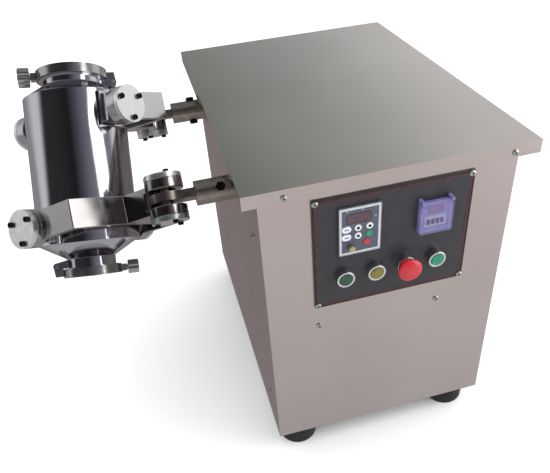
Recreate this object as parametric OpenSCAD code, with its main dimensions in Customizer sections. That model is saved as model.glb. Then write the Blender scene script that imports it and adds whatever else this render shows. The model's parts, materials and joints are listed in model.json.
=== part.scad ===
// Three-dimensional mixer: a barrel held by two stirrups between two parallel shafts.
// Origin on the floor under the middle of the cabinet, X to the right, Y to the back, Z up.
// All sizes are millimetres.

/* [Cabinet] */
// Width of the cabinet body
body_w = 403; // [380:1:484]
// Depth of the cabinet body
body_d = 600; // [560:1:720]
// Height of the cabinet body between its feet and the top sheet
body_h = 536; // [500:1:644]
// Thickness of the side, front and back sheets
sheet = 1.5; // [1:0.1:2]
// Thickness of the top sheet
top_t = 2; // [1.5:0.1:3]
// Height of the folded lip round the top plate
lip_h = 22; // [16:1:27]
// How far the top plate stands out on the left
over_left = 22; // [10:1:30]
// How far the top plate stands out on the right
over_right = 35; // [10:1:42]
// How far the top plate stands out at the back
over_back = 35; // [10:1:42]
// Width of the front panel's folded flange on each side
flange_w = 35; // [28:1:42]
// Radius of the clear hole round each shaft in the left panel
shaft_hole_r = 27; // [24:0.5:32]

/* [Feet] */
// Height of a foot
foot_h = 48; // [38:1:58]
// Radius of a foot at its top
foot_r = 38; // [30:0.5:44]
// Radius of a foot at the floor
foot_floor_r = 36; // [30:0.5:44]
// Distance from a foot's centre to the sides of the body
foot_inset = 45; // [45:1:60]
// Radius of the recess for the fixing screw under a foot
foot_hole_r = 9.5; // [7:0.5:12]
// Depth of that recess
foot_hole_depth = 9.5; // [6:0.5:12]

/* [Frame] */
// Leg width of the angle steel in the cabinet's frame
angle_w = 30; // [20:1:36]
// Thickness of the angle steel
angle_t = 3; // [2:0.5:5]
// Width of the tube in the bearing portals
portal_w = 56; // [50:1:67]
// Height of the bearing portals' top beam
portal_beam_h = 40; // [30:1:48]
// Thickness of a portal leg along the depth
portal_leg = 36; // [30:1:44]
// Clear distance between the legs of a portal
portal_span = 430; // [410:1:480]

/* [Linkage] */
// Length of each of the three links: stirrup, barrel and stirrup
link = 186.2; // [175:0.1:224]
// Angle between the rear stirrup's arm and the barrel's axis as it stands
fold_angle = 82.158; // [78:0.001:88]
// Depth of the two shafts below the top of the cabinet
shaft_drop = 63.8; // [60:0.1:76]
// Distance from the pivots to the left side of the cabinet body
pivot_reach = 117.6; // [110:0.1:141]
// Radius of the two shafts
shaft_r = 20; // [17:0.5:22]
// Thickness of the tongue at the end of each shaft
tongue_t = 14; // [12:0.5:17]
// Radius of the tongue's round eye
eye_r = 27; // [23:0.5:28]
// Radius of the pivot pins
pin_r = 10; // [8:0.5:12]
// Radial running clearance of a pin or shaft in its bore
running = 0.05; // [0.02:0.01:0.09]
// Slack round the pivot pin of the front stirrup
open_slack = 6.5; // [6.5:0.1:7.8]

/* [Stirrups] */
// Gap between the barrel and the inner face of a stirrup's leg
leg_gap = 22; // [20:0.5:26]
// Thickness of the stirrup's flat bar
bar_t = 11; // [9:0.5:13]
// Width of the stirrup's flat bar
bar_w = 46; // [38:0.5:48]
// Gap between the barrel and the inside of a stirrup's bowed back
back_gap = 23; // [19:0.5:27]
// How far a stirrup's back bows out between its folds
bow = 18; // [14:0.5:24]
// Radius of a stirrup's boss round its pivot
boss_r = 30; // [29:0.5:34]
// Half height of a stirrup's boss
boss_half = 30; // [27:0.5:36]
// Radius of a trunnion housing and of its cap
housing_r = 31; // [27:0.5:34]
// Width of a trunnion housing, with the leg that carries it
housing_w = 19; // [16:0.5:22]
// Thickness of the round caps
cap_t = 8; // [6:0.5:10]
// Outer radius of a trunnion bush
bush_r = 18; // [16:0.5:20]
// Radius of a trunnion
trunnion_r = 12; // [10:0.5:14]

/* [Barrel] */
// Outer radius of the barrel
barrel_r = 84; // [75:0.5:101]
// Wall thickness of the barrel
wall = 3; // [2:0.5:4]
// Height of the barrel's straight side above the upper trunnions
side_above = 34; // [31:0.5:38]
// Height of the barrel's straight side below the lower trunnions
side_below = 28; // [23:0.5:34]
// Height of the upper cone
cone_top_h = 23; // [19:0.5:28]
// Height of the lower cone
cone_low_h = 26; // [21:0.5:31]
// Outer radius of the filling neck
neck_top_r = 50; // [46:0.5:54]
// Outer radius of the emptying neck
neck_low_r = 40; // [36:0.5:44]
// Height of the filling neck
neck_top_h = 10; // [9:0.5:12]
// Height of the emptying neck
neck_low_h = 15; // [13:0.5:18]
// Angle from the upper trunnions to the lid's hinge, seen from above the lid
closure_turn = 49; // [40:1:50]

/* [Control plate] */
// Width of the control plate
control_w = 255; // [245:1:306]
// Height of the control plate
control_h = 203; // [198:1:243]
// Thickness of the control plate
control_t = 3; // [2:0.5:4]
// Distance from the top of the cabinet to the top of the control plate
control_drop = 29; // [29:1:34]
// Distance of the control plate's middle to the right of the body's middle
control_shift = 3.5; // [-10:0.5:4]
// Spacing of the row of buttons
button_pitch = 51; // [44:0.5:61]
// Distance from the top of the control plate to the row of buttons
button_drop = 147; // [143:0.5:176]
// Radius of the panel holes for the buttons
button_hole_r = 11.2; // [11:0.1:11.5]
// Radius of the chrome collar of a button
collar_r = 14.75; // [13.5:0.25:17]
// How far the chrome collar stands out
collar_h = 12; // [10:0.5:16]
// Radius of the mushroom head of the stop button
mushroom_r = 20; // [17:0.5:23]
// Travel of the buttons
button_travel = 4; // [2:0.5:5]
// Width of the speed control's keypad
keypad_w = 66.5; // [62:0.5:79]
// Height of the speed control's keypad
keypad_h = 84.5; // [80:0.5:90]
// Spacing of the keys across
key_pitch_x = 18.2; // [17:0.1:19]
// Spacing of the keys up and down
key_pitch_z = 14.2; // [13.6:0.1:15]
// Radius of a key
key_r = 5.4; // [4.5:0.1:6]
// Width and height of the timer's cover
timer_w = 52; // [50:0.5:60]

/* [Drive] */
// Radius of the drive shaft's pulley
pulley_r = 51; // [45:0.5:54]
// Radius of the gearbox's pulley
small_pulley_r = 34; // [28:0.5:40]
// Width of the belt
belt_w = 18; // [14:0.5:20]
// Radius of the motor's body
motor_r = 56; // [48:0.5:60]
// Length of the motor's body
motor_len = 150; // [120:1:155]

/* [Hidden] */
$fn = 64;
// One overrun for every cut
over = 1;
// Clearance between pieces of different bodies that don't touch
clear = 0.4;

// The cabinet's faces and heights
half_w = body_w / 2;
half_d = body_d / 2;
body_low = foot_h;
body_top = foot_h + body_h;
top_z = body_top + top_t;
shaft_z = top_z - shaft_drop;
lip_gap = 0.3;
pan_t = 2;
front_y = -half_d;

// The closed loop of shaft, stirrup, barrel, stirrup and shaft.
// Its arms and the barrel's axis are unit vectors, first in a frame where the barrel is along X.
cos_rear = cos(fold_angle);
cos_front = 1 / (1 + cos_rear) - 1;
rear_flat = [cos_rear, sin(fold_angle), 0];
front_flat = [cos_front, 0, sqrt(1 - cos_front * cos_front)];
barrel_flat = [1, 0, 0];
chain_flat = rear_flat + barrel_flat + front_flat;
forward_flat = chain_flat / norm(chain_flat);
level_flat = cos_rear * rear_flat - barrel_flat;
across_raw = cross(forward_flat, level_flat);
across_flat = across_raw / norm(across_raw);
up_flat = cross(across_flat, forward_flat);
function turned(v) = [v * across_flat, -(v * forward_flat), v * up_flat];
rear_arm = turned(rear_flat);
barrel_dir = turned(barrel_flat);
front_arm = turned(front_flat);
shaft_gap = link * norm(chain_flat);
pivot_x = -half_w - pivot_reach;
rear_pivot = [pivot_x, shaft_gap / 2, shaft_z];
front_pivot = [pivot_x, -shaft_gap / 2, shaft_z];
upper_centre = rear_pivot + link * rear_arm;
lower_centre = upper_centre + link * barrel_dir;
function unit(v) = v / norm(v);
along = [1, 0, 0];
rear_pin_axis = unit(cross(along, rear_arm));
front_pin_axis = unit(cross(along, front_arm));
upper_axis = unit(cross(rear_arm, barrel_dir));

// A frame from an origin, its own X direction and its own Z direction
function frame_of(origin, x_dir, z_dir) =
    let (y_dir = cross(z_dir, x_dir))
    [[x_dir.x, y_dir.x, z_dir.x, origin.x],
     [x_dir.y, y_dir.y, z_dir.y, origin.y],
     [x_dir.z, y_dir.z, z_dir.z, origin.z],
     [0, 0, 0, 1]];
rear_frame = frame_of(upper_centre, -rear_arm, rear_pin_axis);
front_frame = frame_of(lower_centre, front_arm, front_pin_axis);
barrel_frame = frame_of(upper_centre, upper_axis, -barrel_dir);
rear_shaft_frame = frame_of(rear_pivot, along, rear_pin_axis);
front_shaft_frame = frame_of(front_pivot, along, front_pin_axis);

// Shafts
shoulder = 45.6;
cross_bolt_at = 85.6;
cross_bolt_r = 5;
cross_head_r = 8;
cross_head_h = 6;
tongue_w = 40;
drive_end = 125;
driven_end = 80;
drive_shaft_len = drive_end - pivot_x;
driven_shaft_len = driven_end - pivot_x;

// Bearings: places along X of the two portals
portal_in = 47;
portal_pitch = 200;
portal_left_x = -half_w + portal_in;
portal_right_x = portal_left_x + portal_pitch;
block_rise = 49;
block_base_t = 16;
block_base_len = 170;
block_base_w = 52;
block_r = 46;
block_w = 38;
insert_r = 34;
insert_w = 44;
block_bolt_at = 68;
block_bolt_r = 6;
block_bolt_head_r = 10;
block_bolt_head_h = 8;
portal_wall = 6;
portal_top = shaft_z - block_rise;

// Gearbox, motor and belt
gear_x = 20;
gear_y = 50;
gear_z = 190;
gear_w = 90;
gear_d = 100;
gear_h = 120;
gear_boss_share = 0.36;
gear_shaft_r = 12.5;
pedestal_t = 6;
pedestal_w = 110;
belt_x = 104;
belt_t = 4;
belt_gap = 0.3;
pulley_flange = 4;
pulley_flange_t = 3;
motor_front = gear_y - gear_d / 2;
motor_flange_t = 12;
motor_rib_h = 4;
motor_rib_t = 3;
motor_ribs = 20;
shield_t = 10;
fan_len = 46;
fan_wall = 2;
fan_shaft_r = 9;
fan_hub_r = 16;
blade_root_share = 0.7;
fan_gap = 3;
blade_t = 3;
blades = 7;
fan_slots = 8;
fan_slot_w = 5;
box_w = 80;
box_d = 90;
box_h = 40;

// Fasteners
screw_r = 2.5;
screw_head_r = 5;
screw_head_h = 2.6;
lip_screw_drop = 14;
lip_screw_left = 60.5;
lip_screw_right = 43;
low_screw_drop = 274;
low_screw_left = 117.5;
low_screw_right = 90.5;
side_screw_y = 245;
side_screw_top = 108;
side_screw_low = 69;
control_screw_in = 5;

// Control plate and what is on it
control_x = control_shift;
control_top = top_z - control_drop;
control_z = control_top - control_h / 2;
plate_y = front_y - control_t;
button_z = control_top - button_drop;
button_first = 79;
button_x0 = control_x - button_first;
button_xs = [for (i = [0 : 3]) button_x0 + i * button_pitch];
collar_bore = 10.9;
cap_r = 10.5;
stem_r = 5;
tube_len = 16;
nut_r = 15;
nut_t = 4;
block_start = 20;
contact_w = 30;
contact_h = 38;
contact_len = 32;
mushroom_out = 26;
mushroom_rim = 7;
mushroom_rise = 5;
mushroom_rim_shares = [[0.9, -1], [1, -0.7], [0.98, -0.35], [0.85, 0]];
mushroom_crown_shares = [[0.5, 0.6], [0, 0.7]];
stop_collar_share = 0.75;
keypad_left = 54.75;
keypad_x = control_x - keypad_left;
keypad_top_drop = 20;
keypad_z = control_top - keypad_top_drop - keypad_h / 2;
keypad_out = 4;
keypad_back = 13;
keypad_rim = 3;
key_left = 21.3;
key_rise = 4.6;
key_left_x = keypad_x - key_left;
key_top_z = keypad_z + key_rise;
key_out = 1.2;
key_depth = 5;
key_hole_depth = 6;
key_gap = 0.3;
key_oval = 2;
stop_key_dx = 4;
knob_dx = 6.2;
knob_down = 31.6;
knob_r = 5;
knob_len = 9;
knob_shaft_r = 2.5;
timer_right = 65;
timer_x = control_x + timer_right;
timer_drop = 64;
timer_z = control_top - timer_drop;
timer_out = 8;
timer_body_w = 45;
timer_body_len = 48;
flap_t = 5;
flap_gap = 0.4;
flap_pin_r = 1.5;
flap_ear_w = 5;
flap_ear_h = 6;
flap_notch = 4;
inverter_w = 100;
inverter_h = 120;
inverter_len = 90;

// Cable gland and vents at the back
gland_x = 120;
gland_z = 112;
gland_bore = 6;
gland_r = 10;
gland_hex_r = 14;
gland_hex_t = 6;
gland_dome_r = 12;
gland_dome_len = 16;
gland_inner = 12;
vent_w = 64;
vent_out = 70;
vent_h = 6;
vent_pitch = 16;
vents = 8;
vent_low = 150;

// Closures at the two necks
ferrule = 5;
ferrule_t = 4;
gasket_t = 2.5;
seat_gap = 0.2;
cover_t = 6;
cover_high = gasket_t + seat_gap + cover_t;
cover_rise = 5;
dish_share = 0.7;
ring_gap = 1;
ring_t = 3;
ring_skirt = 3;
ring_over_t = 3.5;
ring_lip = 6;
hinge_out = 13;
hinge_below = 5;
hinge_pin_r = 3;
hinge_eye_r = 6;
ear_foot_share = 0.86;
arm_top_share = 0.6;
arm_w = 12;
ear_t = 4;
ear_gap = 0.5;
lug_len = 8;
lug_w = 16;
lug_h = 12;
knob_screw_r = 4;
knob_gap = 2;
knob_depth = 18;
top_knob_r = 17;
low_knob_r = 12;
knob_lobes = 6;
lobe_share = 0.38;

// Trunnion pads on the barrel
pad_h = 57;
pad_w = 50;
pad_t = 4;
block_high = 46;
block_wide = 42;
block_gap = 6;
leg_in = barrel_r + leg_gap;
block_out = leg_in - block_gap;
trunnion_collar_r = 20;
collar_end = leg_in - clear;
trunnion_end = leg_in + housing_w - clear * 4;

// Caps and their screws
cap_screws = 3;
cap_screw_at_share = 0.74;
cap_screw_turn = 30;
cap_screw_r = 4.5;
cap_screw_h = 4.5;
cap_socket_r = 2.6;
cap_socket_depth = 2.5;
pin_short = 0.5;

// A box given by its middle in X and Y and its lowest face
module block_on(size, middle) {
    translate([middle.x - size.x / 2, middle.y - size.y / 2, middle.z]) cube(size);
}

// A round bar along X, from x0 to x1
module bar_x(r, x0, x1, y, z) {
    translate([x0, y, z]) rotate([0, 90, 0]) cylinder(h = x1 - x0, r = r);
}

// A round bar along Y, from y0 to y1
module bar_y(r, y0, y1, x, z) {
    translate([x, y1, z]) rotate([90, 0, 0]) cylinder(h = y1 - y0, r = r);
}

// CABINET

// One angle-steel post in the corner given by the signs sx and sy
module post(sx, sy) {
    corner_x = half_w - sheet;
    corner_y = half_d - sheet;
    post_h = body_h - pan_t;
    scale_x = sx < 0 ? 1 : 0;
    scale_y = sy < 0 ? 1 : 0;
    mirror([scale_x, 0, 0]) mirror([0, scale_y, 0]) {
        translate([corner_x - angle_w, corner_y - angle_t, body_low + pan_t])
            cube([angle_w, angle_t, post_h]);
        translate([corner_x - angle_t, corner_y - angle_w, body_low + pan_t])
            cube([angle_t, angle_w, post_h]);
    }
}

module frame() {
    rail_w = body_w - 2 * sheet;
    rail_d = body_d - 2 * sheet;
    color("dimgray") {
        difference() {
            union() {
                // Base pan
                block_on([rail_w, rail_d, pan_t], [0, 0, body_low]);
                for (sx = [-1, 1]) for (sy = [-1, 1]) post(sx, sy);
                // Top rails that the top plate lies on
                for (sy = [-1, 1]) {
                    block_on([rail_w, angle_w, angle_t],
                        [0, sy * (rail_d - angle_w) / 2, body_top - angle_t]);
                }
                for (sx = [-1, 1]) {
                    block_on([angle_w, rail_d, angle_t],
                        [sx * (rail_w - angle_w) / 2, 0, body_top - angle_t]);
                }
            }
            // Room for the fixings of the control plate's upper screws
            block_on([control_w, angle_w, angle_w + over],
                [control_x, front_y + angle_w / 2, body_top - angle_w - angle_t - over]);
        }
        // Pedestal of the gearbox, a bent plate
        pedestal_h = gear_z - gear_h / 2 - body_low - pan_t;
        difference() {
            block_on([gear_w, pedestal_w, pedestal_h], [gear_x, gear_y, body_low + pan_t]);
            block_on([gear_w - 2 * pedestal_t, pedestal_w + 2 * over, pedestal_h - pedestal_t],
                [gear_x, gear_y, body_low + pan_t]);
        }
    }
}

// One portal of square tube that carries a bearing of each shaft
module portal(x) {
    leg_h = portal_top - portal_beam_h - body_low - pan_t;
    outer = portal_span + 2 * portal_leg;
    difference() {
        union() {
            block_on([portal_w, outer, portal_beam_h], [x, 0, portal_top - portal_beam_h]);
            for (s = [-1, 1]) {
                block_on([portal_w, portal_leg, leg_h],
                    [x, s * (portal_span + portal_leg) / 2, body_low + pan_t]);
            }
        }
        block_on([portal_w - 2 * portal_wall, outer + 2 * over, portal_beam_h - 2 * portal_wall],
            [x, 0, portal_top - portal_beam_h + portal_wall]);
        for (sy = [-1, 1]) for (s = [-1, 1]) {
            translate([x, sy * shaft_gap / 2 + s * block_bolt_at, portal_top - portal_wall - over])
                cylinder(h = portal_wall + 2 * over, r = block_bolt_r);
        }
    }
}

module bearing_portals() {
    color("slategray") {
        portal(portal_left_x);
        portal(portal_right_x);
    }
}

// Holes for everything that passes through the control plate and the front panel
module control_cuts(y_from, y_to) {
    depth = y_to - y_from;
    for (x = button_xs) bar_y(button_hole_r, y_from, y_to, x, button_z);
    translate([keypad_x - (keypad_w - 2 * keypad_rim) / 2, y_from,
        keypad_z - (keypad_h - 2 * keypad_rim) / 2])
        cube([keypad_w - 2 * keypad_rim, depth, keypad_h - 2 * keypad_rim]);
    translate([timer_x - timer_body_w / 2, y_from, timer_z - timer_body_w / 2])
        cube([timer_body_w, depth, timer_body_w]);
    for (p = control_screw_places()) bar_y(screw_r, y_from, y_to, p.x, p.y);
}

// Places of the control plate's corner screws, as X and Z
function control_screw_places() = [
    for (sx = [-1, 1]) for (sz = [-1, 1])
        [control_x + sx * (control_w / 2 - control_screw_in),
         control_z + sz * (control_h / 2 - control_screw_in)]];

// Places of the front panel's lower screws, as X and Z
function low_screw_places() = [
    [-low_screw_left, top_z - low_screw_drop],
    [low_screw_right, top_z - low_screw_drop]];

// Places of the screws of a side panel, as Y and Z
function side_screw_places() = [
    for (y = [-side_screw_y, side_screw_y])
        for (z = [top_z - side_screw_top, body_low + side_screw_low]) [y, z]];

// Places of the front lip's screws along X
lip_xs = [-half_w - over_left + lip_screw_left, half_w + over_right - lip_screw_right];

module front_panel() {
    color("silver") difference() {
        union() {
            translate([-half_w, front_y, body_low]) cube([body_w, sheet, body_h]);
            for (s = [0, 1]) mirror([s, 0, 0])
                translate([half_w - sheet, front_y, body_low]) cube([sheet, flange_w, body_h]);
        }
        control_cuts(front_y - over, front_y + sheet + over);
        for (p = low_screw_places()) bar_y(screw_r, front_y - over, front_y + sheet + over, p.x, p.y);
        for (x = lip_xs) bar_y(screw_r, front_y - over, front_y + sheet + over,
            x, top_z - lip_screw_drop);
    }
}

// A side panel behind the front panel's flange, at the left side of the body
module side_panel() {
    translate([-half_w, front_y + flange_w, body_low])
        cube([sheet, body_d - flange_w, body_h]);
}

module side_screw_holes(x) {
    for (p = side_screw_places()) bar_x(screw_r, x - over, x + sheet + over, p.x, p.y);
}

module left_panel() {
    color("silver") difference() {
        side_panel();
        side_screw_holes(-half_w);
        for (s = [-1, 1]) bar_x(shaft_hole_r, -half_w - over, -half_w + sheet + over,
            s * shaft_gap / 2, shaft_z);
    }
}

module right_panel() {
    color("silver") difference() {
        mirror([1, 0, 0]) side_panel();
        side_screw_holes(half_w - sheet);
    }
}

module back_panel() {
    back_w = body_w - 2 * sheet;
    color("silver") difference() {
        translate([-back_w / 2, half_d - sheet, body_low]) cube([back_w, sheet, body_h]);
        for (i = [0 : vents - 1]) for (s = [-1, 1])
            translate([s * vent_out - vent_w / 2, half_d - sheet - over, vent_low + i * vent_pitch])
                cube([vent_w, sheet + 2 * over, vent_h]);
        bar_y(gland_r, half_d - sheet - over, half_d + over, gland_x, gland_z);
        for (p = back_screw_places())
            bar_y(screw_r, half_d - sheet - over, half_d + over, p.x, p.y);
    }
}

// Places of the back panel's screws, as X and Z
function back_screw_places() = [
    for (sx = [-1, 1]) for (z = [body_top - 2 * angle_w, (body_top + body_low) / 2,
        body_low + angle_w]) [sx * (half_w - sheet - angle_w / 2), z]];

module top_plate() {
    plate_w = body_w + over_left + over_right;
    plate_d = body_d + over_back + lip_gap + top_t;
    corner = [-half_w - over_left, front_y - lip_gap - top_t, top_z - lip_h];
    color("silver") difference() {
        translate(corner) cube([plate_w, plate_d, lip_h]);
        translate(corner + [top_t, top_t, -over])
            cube([plate_w - 2 * top_t, plate_d - 2 * top_t, lip_h - top_t + over]);
        for (x = lip_xs) bar_y(screw_r, corner.y - over, corner.y + top_t + over,
            x, top_z - lip_screw_drop);
    }
}

module feet() {
    color([0.07, 0.07, 0.08]) for (sx = [-1, 1]) for (sy = [-1, 1]) {
        translate([sx * (half_w - foot_inset), sy * (half_d - foot_inset), 0])
            difference() {
                cylinder(h = foot_h, r1 = foot_floor_r, r2 = foot_r);
                translate([0, 0, -over]) cylinder(h = foot_hole_depth + over, r = foot_hole_r);
            }
    }
}

// A domed cross-head screw that stands out along Z from the face at zero
module panel_screw(shank) {
    difference() {
        union() {
            cylinder(h = screw_head_h / 2, r = screw_head_r);
            translate([0, 0, screw_head_h / 2])
                cylinder(h = screw_head_h / 2, r1 = screw_head_r, r2 = screw_head_r / 2);
            translate([0, 0, -shank]) cylinder(h = shank, r = screw_r);
        }
        slot_len = screw_head_r;
        slot_w = screw_head_r / 5;
        for (a = [0, 90]) rotate([0, 0, a])
            translate([-slot_len / 2, -slot_w / 2, screw_head_h / 2])
                cube([slot_len, slot_w, screw_head_h]);
    }
}

// A hexagon-headed bearing bolt that points down from its seat at zero
module bearing_bolt() {
    cylinder(h = block_bolt_head_h, r = block_bolt_head_r, $fn = 6);
    translate([0, 0, -block_base_t - portal_wall]) cylinder(h = block_base_t + portal_wall,
        r = block_bolt_r);
}

module cabinet_fasteners() {
    color("gainsboro") {
        for (x = lip_xs)
            translate([x, front_y - lip_gap - top_t, top_z - lip_screw_drop])
                rotate([90, 0, 0]) panel_screw(top_t + lip_gap + sheet);
        for (p = low_screw_places())
            translate([p.x, front_y, p.y]) rotate([90, 0, 0]) panel_screw(sheet);
        for (p = control_screw_places())
            translate([p.x, plate_y, p.y]) rotate([90, 0, 0]) panel_screw(control_t + sheet);
        for (p = side_screw_places()) {
            translate([-half_w, p.x, p.y]) rotate([0, -90, 0]) panel_screw(sheet);
            translate([half_w, p.x, p.y]) rotate([0, 90, 0]) panel_screw(sheet);
        }
        for (p = back_screw_places())
            translate([p.x, half_d, p.y]) rotate([-90, 0, 0]) panel_screw(sheet);
        for (x = [portal_left_x, portal_right_x]) for (sy = [-1, 1]) for (s = [-1, 1])
            translate([x, sy * shaft_gap / 2 + s * block_bolt_at, portal_top + block_base_t])
                bearing_bolt();
    }
}

// BEARINGS AND DRIVE

module pillow_block(x, y) {
    difference() {
        union() {
            block_on([block_base_w, block_base_len, block_base_t], [x, y, portal_top]);
            bar_x(block_r, x - block_w / 2, x + block_w / 2, y, shaft_z);
        }
        bar_x(insert_r, x - block_w, x + block_w, y, shaft_z);
        block_on([block_base_w + 2 * over, block_base_len, block_r], [x, y, portal_top - block_r]);
        for (s = [-1, 1]) translate([x, y + s * block_bolt_at, portal_top - over])
            cylinder(h = block_base_t + 2 * over, r = block_bolt_r);
    }
}

module pillow_blocks() {
    color("darkgreen") for (x = [portal_left_x, portal_right_x]) for (s = [-1, 1])
        pillow_block(x, s * shaft_gap / 2);
}

module bearing_inserts() {
    color("lightgray") for (x = [portal_left_x, portal_right_x]) for (s = [-1, 1])
        difference() {
            bar_x(insert_r, x - insert_w / 2, x + insert_w / 2, s * shaft_gap / 2, shaft_z);
            bar_x(shaft_r + running, x - insert_w, x + insert_w, s * shaft_gap / 2, shaft_z);
        }
}

module gearbox() {
    side_boss_r = gear_h * gear_boss_share;
    color([0.32, 0.36, 0.42]) difference() {
        union() {
            block_on([gear_w, gear_d, gear_h], [gear_x, gear_y, gear_z - gear_h / 2]);
            bar_x(side_boss_r, gear_x - gear_w / 2 - motor_flange_t / 2,
                gear_x + gear_w / 2 + motor_flange_t / 2, gear_y, gear_z);
            bar_y(motor_r, motor_front - motor_flange_t, motor_front + over, gear_x, gear_z);
        }
        bar_x(gear_shaft_r + running, gear_x - gear_w, gear_x + gear_w, gear_y, gear_z);
    }
}

// The motor's rear end, where the fan sits
motor_y1 = motor_front - motor_flange_t;
motor_y0 = motor_y1 - motor_len;

module motor() {
    color([0.32, 0.36, 0.42]) difference() {
        union() {
            bar_y(motor_r - motor_rib_h, motor_y0, motor_y1, gear_x, gear_z);
            bar_y(motor_r, motor_y0, motor_y0 + shield_t, gear_x, gear_z);
            bar_y(motor_r, motor_y1 - shield_t, motor_y1, gear_x, gear_z);
            for (i = [0 : motor_ribs - 1]) translate([gear_x, motor_y0, gear_z])
                rotate([0, i * 360 / motor_ribs, 0])
                    translate([-motor_rib_t / 2, shield_t / 2, motor_r / 2])
                        cube([motor_rib_t, motor_len - shield_t, motor_r / 2 - over]);
            block_on([box_w, box_d, box_h],
                [gear_x, (motor_y0 + motor_y1) / 2, gear_z + motor_r - motor_rib_h * 2]);
        }
        bar_y(fan_shaft_r + running, motor_y0 - over, motor_y0 + shield_t * 2, gear_x, gear_z);
    }
}

module fan_cover() {
    cover_r = motor_r + fan_wall;
    color([0.25, 0.28, 0.33]) difference() {
        bar_y(cover_r, motor_y0 - fan_len, motor_y0, gear_x, gear_z);
        bar_y(motor_r, motor_y0 - fan_len + fan_wall, motor_y0 + over, gear_x, gear_z);
        for (i = [0 : fan_slots - 1]) {
            slot_z = gear_z + (i - (fan_slots - 1) / 2) * 2 * fan_slot_w;
            translate([gear_x - motor_r / 2, motor_y0 - fan_len - over, slot_z - fan_slot_w / 2])
                cube([motor_r, fan_wall + 2 * over, fan_slot_w]);
        }
    }
}

module motor_fan() {
    hub_y0 = motor_y0 - fan_len / 2;
    hub_y1 = motor_y0 - fan_gap;
    blade_root = fan_hub_r * blade_root_share;
    color([0.1, 0.1, 0.1]) {
        bar_y(fan_shaft_r, hub_y0 + over, motor_y0 + shield_t, gear_x, gear_z);
        bar_y(fan_hub_r, hub_y0, hub_y1, gear_x, gear_z);
        for (i = [0 : blades - 1]) translate([gear_x, hub_y0 + over, gear_z])
            rotate([0, i * 360 / blades, 0]) translate([-blade_t / 2, 0, blade_root])
                cube([blade_t, hub_y1 - hub_y0 - 2 * over, motor_r - fan_gap - blade_root]);
    }
}

// A flanged flat-belt pulley along X round the belt's middle plane
module pulley(r, bore, y, z) {
    half = belt_w / 2 + belt_gap;
    difference() {
        union() {
            bar_x(r, belt_x - half, belt_x + half, y, z);
            for (s = [-1, 1]) bar_x(r + pulley_flange,
                belt_x + s * (half + pulley_flange_t / 2) - pulley_flange_t / 2,
                belt_x + s * (half + pulley_flange_t / 2) + pulley_flange_t / 2, y, z);
        }
        bar_x(bore, belt_x - belt_w, belt_x + belt_w, y, z);
    }
}

// The outline that a belt of the given thickness fills round both pulleys
module belt_loop(grow) {
    hull() {
        translate([shaft_gap / 2, shaft_z]) circle(r = pulley_r + grow);
        translate([gear_y, gear_z]) circle(r = small_pulley_r + grow);
    }
}

module drive_belt() {
    color([0.08, 0.08, 0.08]) translate([belt_x - belt_w / 2, 0, 0])
        rotate([90, 0, 90]) linear_extrude(height = belt_w) difference() {
            belt_loop(belt_gap + belt_t);
            belt_loop(belt_gap);
        }
}

module gearbox_output() {
    color("darkgray") {
        bar_x(gear_shaft_r, gear_x - gear_w / 2 - motor_flange_t, belt_x + belt_w, gear_y, gear_z);
        pulley(small_pulley_r, gear_shaft_r, gear_y, gear_z);
    }
}

module drive_pulley() {
    color("darkgray") pulley(pulley_r, shaft_r, shaft_gap / 2, shaft_z);
}

// A shaft with its tongue, in its own frame: pivot at the origin, shaft along X
module shaft(len, eye_bore, bolt_axis_turn) {
    difference() {
        union() {
            translate([shoulder, 0, 0]) rotate([0, 90, 0]) cylinder(h = len - shoulder, r = shaft_r);
            translate([0, -tongue_w / 2, -tongue_t / 2])
                cube([shoulder + over, tongue_w, tongue_t]);
            translate([0, 0, -tongue_t / 2]) cylinder(h = tongue_t, r = eye_r);
        }
        translate([0, 0, -tongue_t]) cylinder(h = 2 * tongue_t, r = eye_bore);
        translate([cross_bolt_at, 0, 0]) rotate([bolt_axis_turn, 0, 0])
            translate([0, 0, -shaft_r - over]) cylinder(h = 2 * shaft_r + 2 * over, r = cross_bolt_r);
    }
}

// The bolt through a shaft, with a hexagon head and nut on flats against the shaft
module cross_bolt(bolt_axis_turn) {
    seat = shaft_r;
    translate([cross_bolt_at, 0, 0]) rotate([bolt_axis_turn, 0, 0]) {
        translate([0, 0, -seat - cross_head_h]) cylinder(h = 2 * seat + 2 * cross_head_h,
            r = cross_bolt_r);
        for (s = [0, 1]) mirror([0, 0, s])
            translate([0, 0, seat]) cylinder(h = cross_head_h, r = cross_head_r, $fn = 6);
    }
}

module drive_shaft() {
    color([0.45, 0.44, 0.43]) multmatrix(rear_shaft_frame)
        shaft(drive_shaft_len, pin_r + running, 0);
}

module drive_cross_bolt() {
    color("dimgray") multmatrix(rear_shaft_frame) cross_bolt(0);
}

module driven_shaft() {
    color([0.45, 0.44, 0.43]) multmatrix(front_shaft_frame) shaft(driven_shaft_len, pin_r, 90);
}

module driven_cross_bolt() {
    color("dimgray") multmatrix(front_shaft_frame) cross_bolt(90);
}

// STIRRUPS
// A stirrup in its own frame: the trunnions' middle at the origin, the pivot along X

// The bowed back of the stirrup: part of a ring through both folds
leg_out = leg_in + bar_t;
back_out = barrel_r + back_gap + bar_t;
leg_len = back_out - bow;
fold_share = 1.2;
bow_r = (leg_out * leg_out + bow * bow) / (2 * bow);
web_gap = 2;

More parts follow.
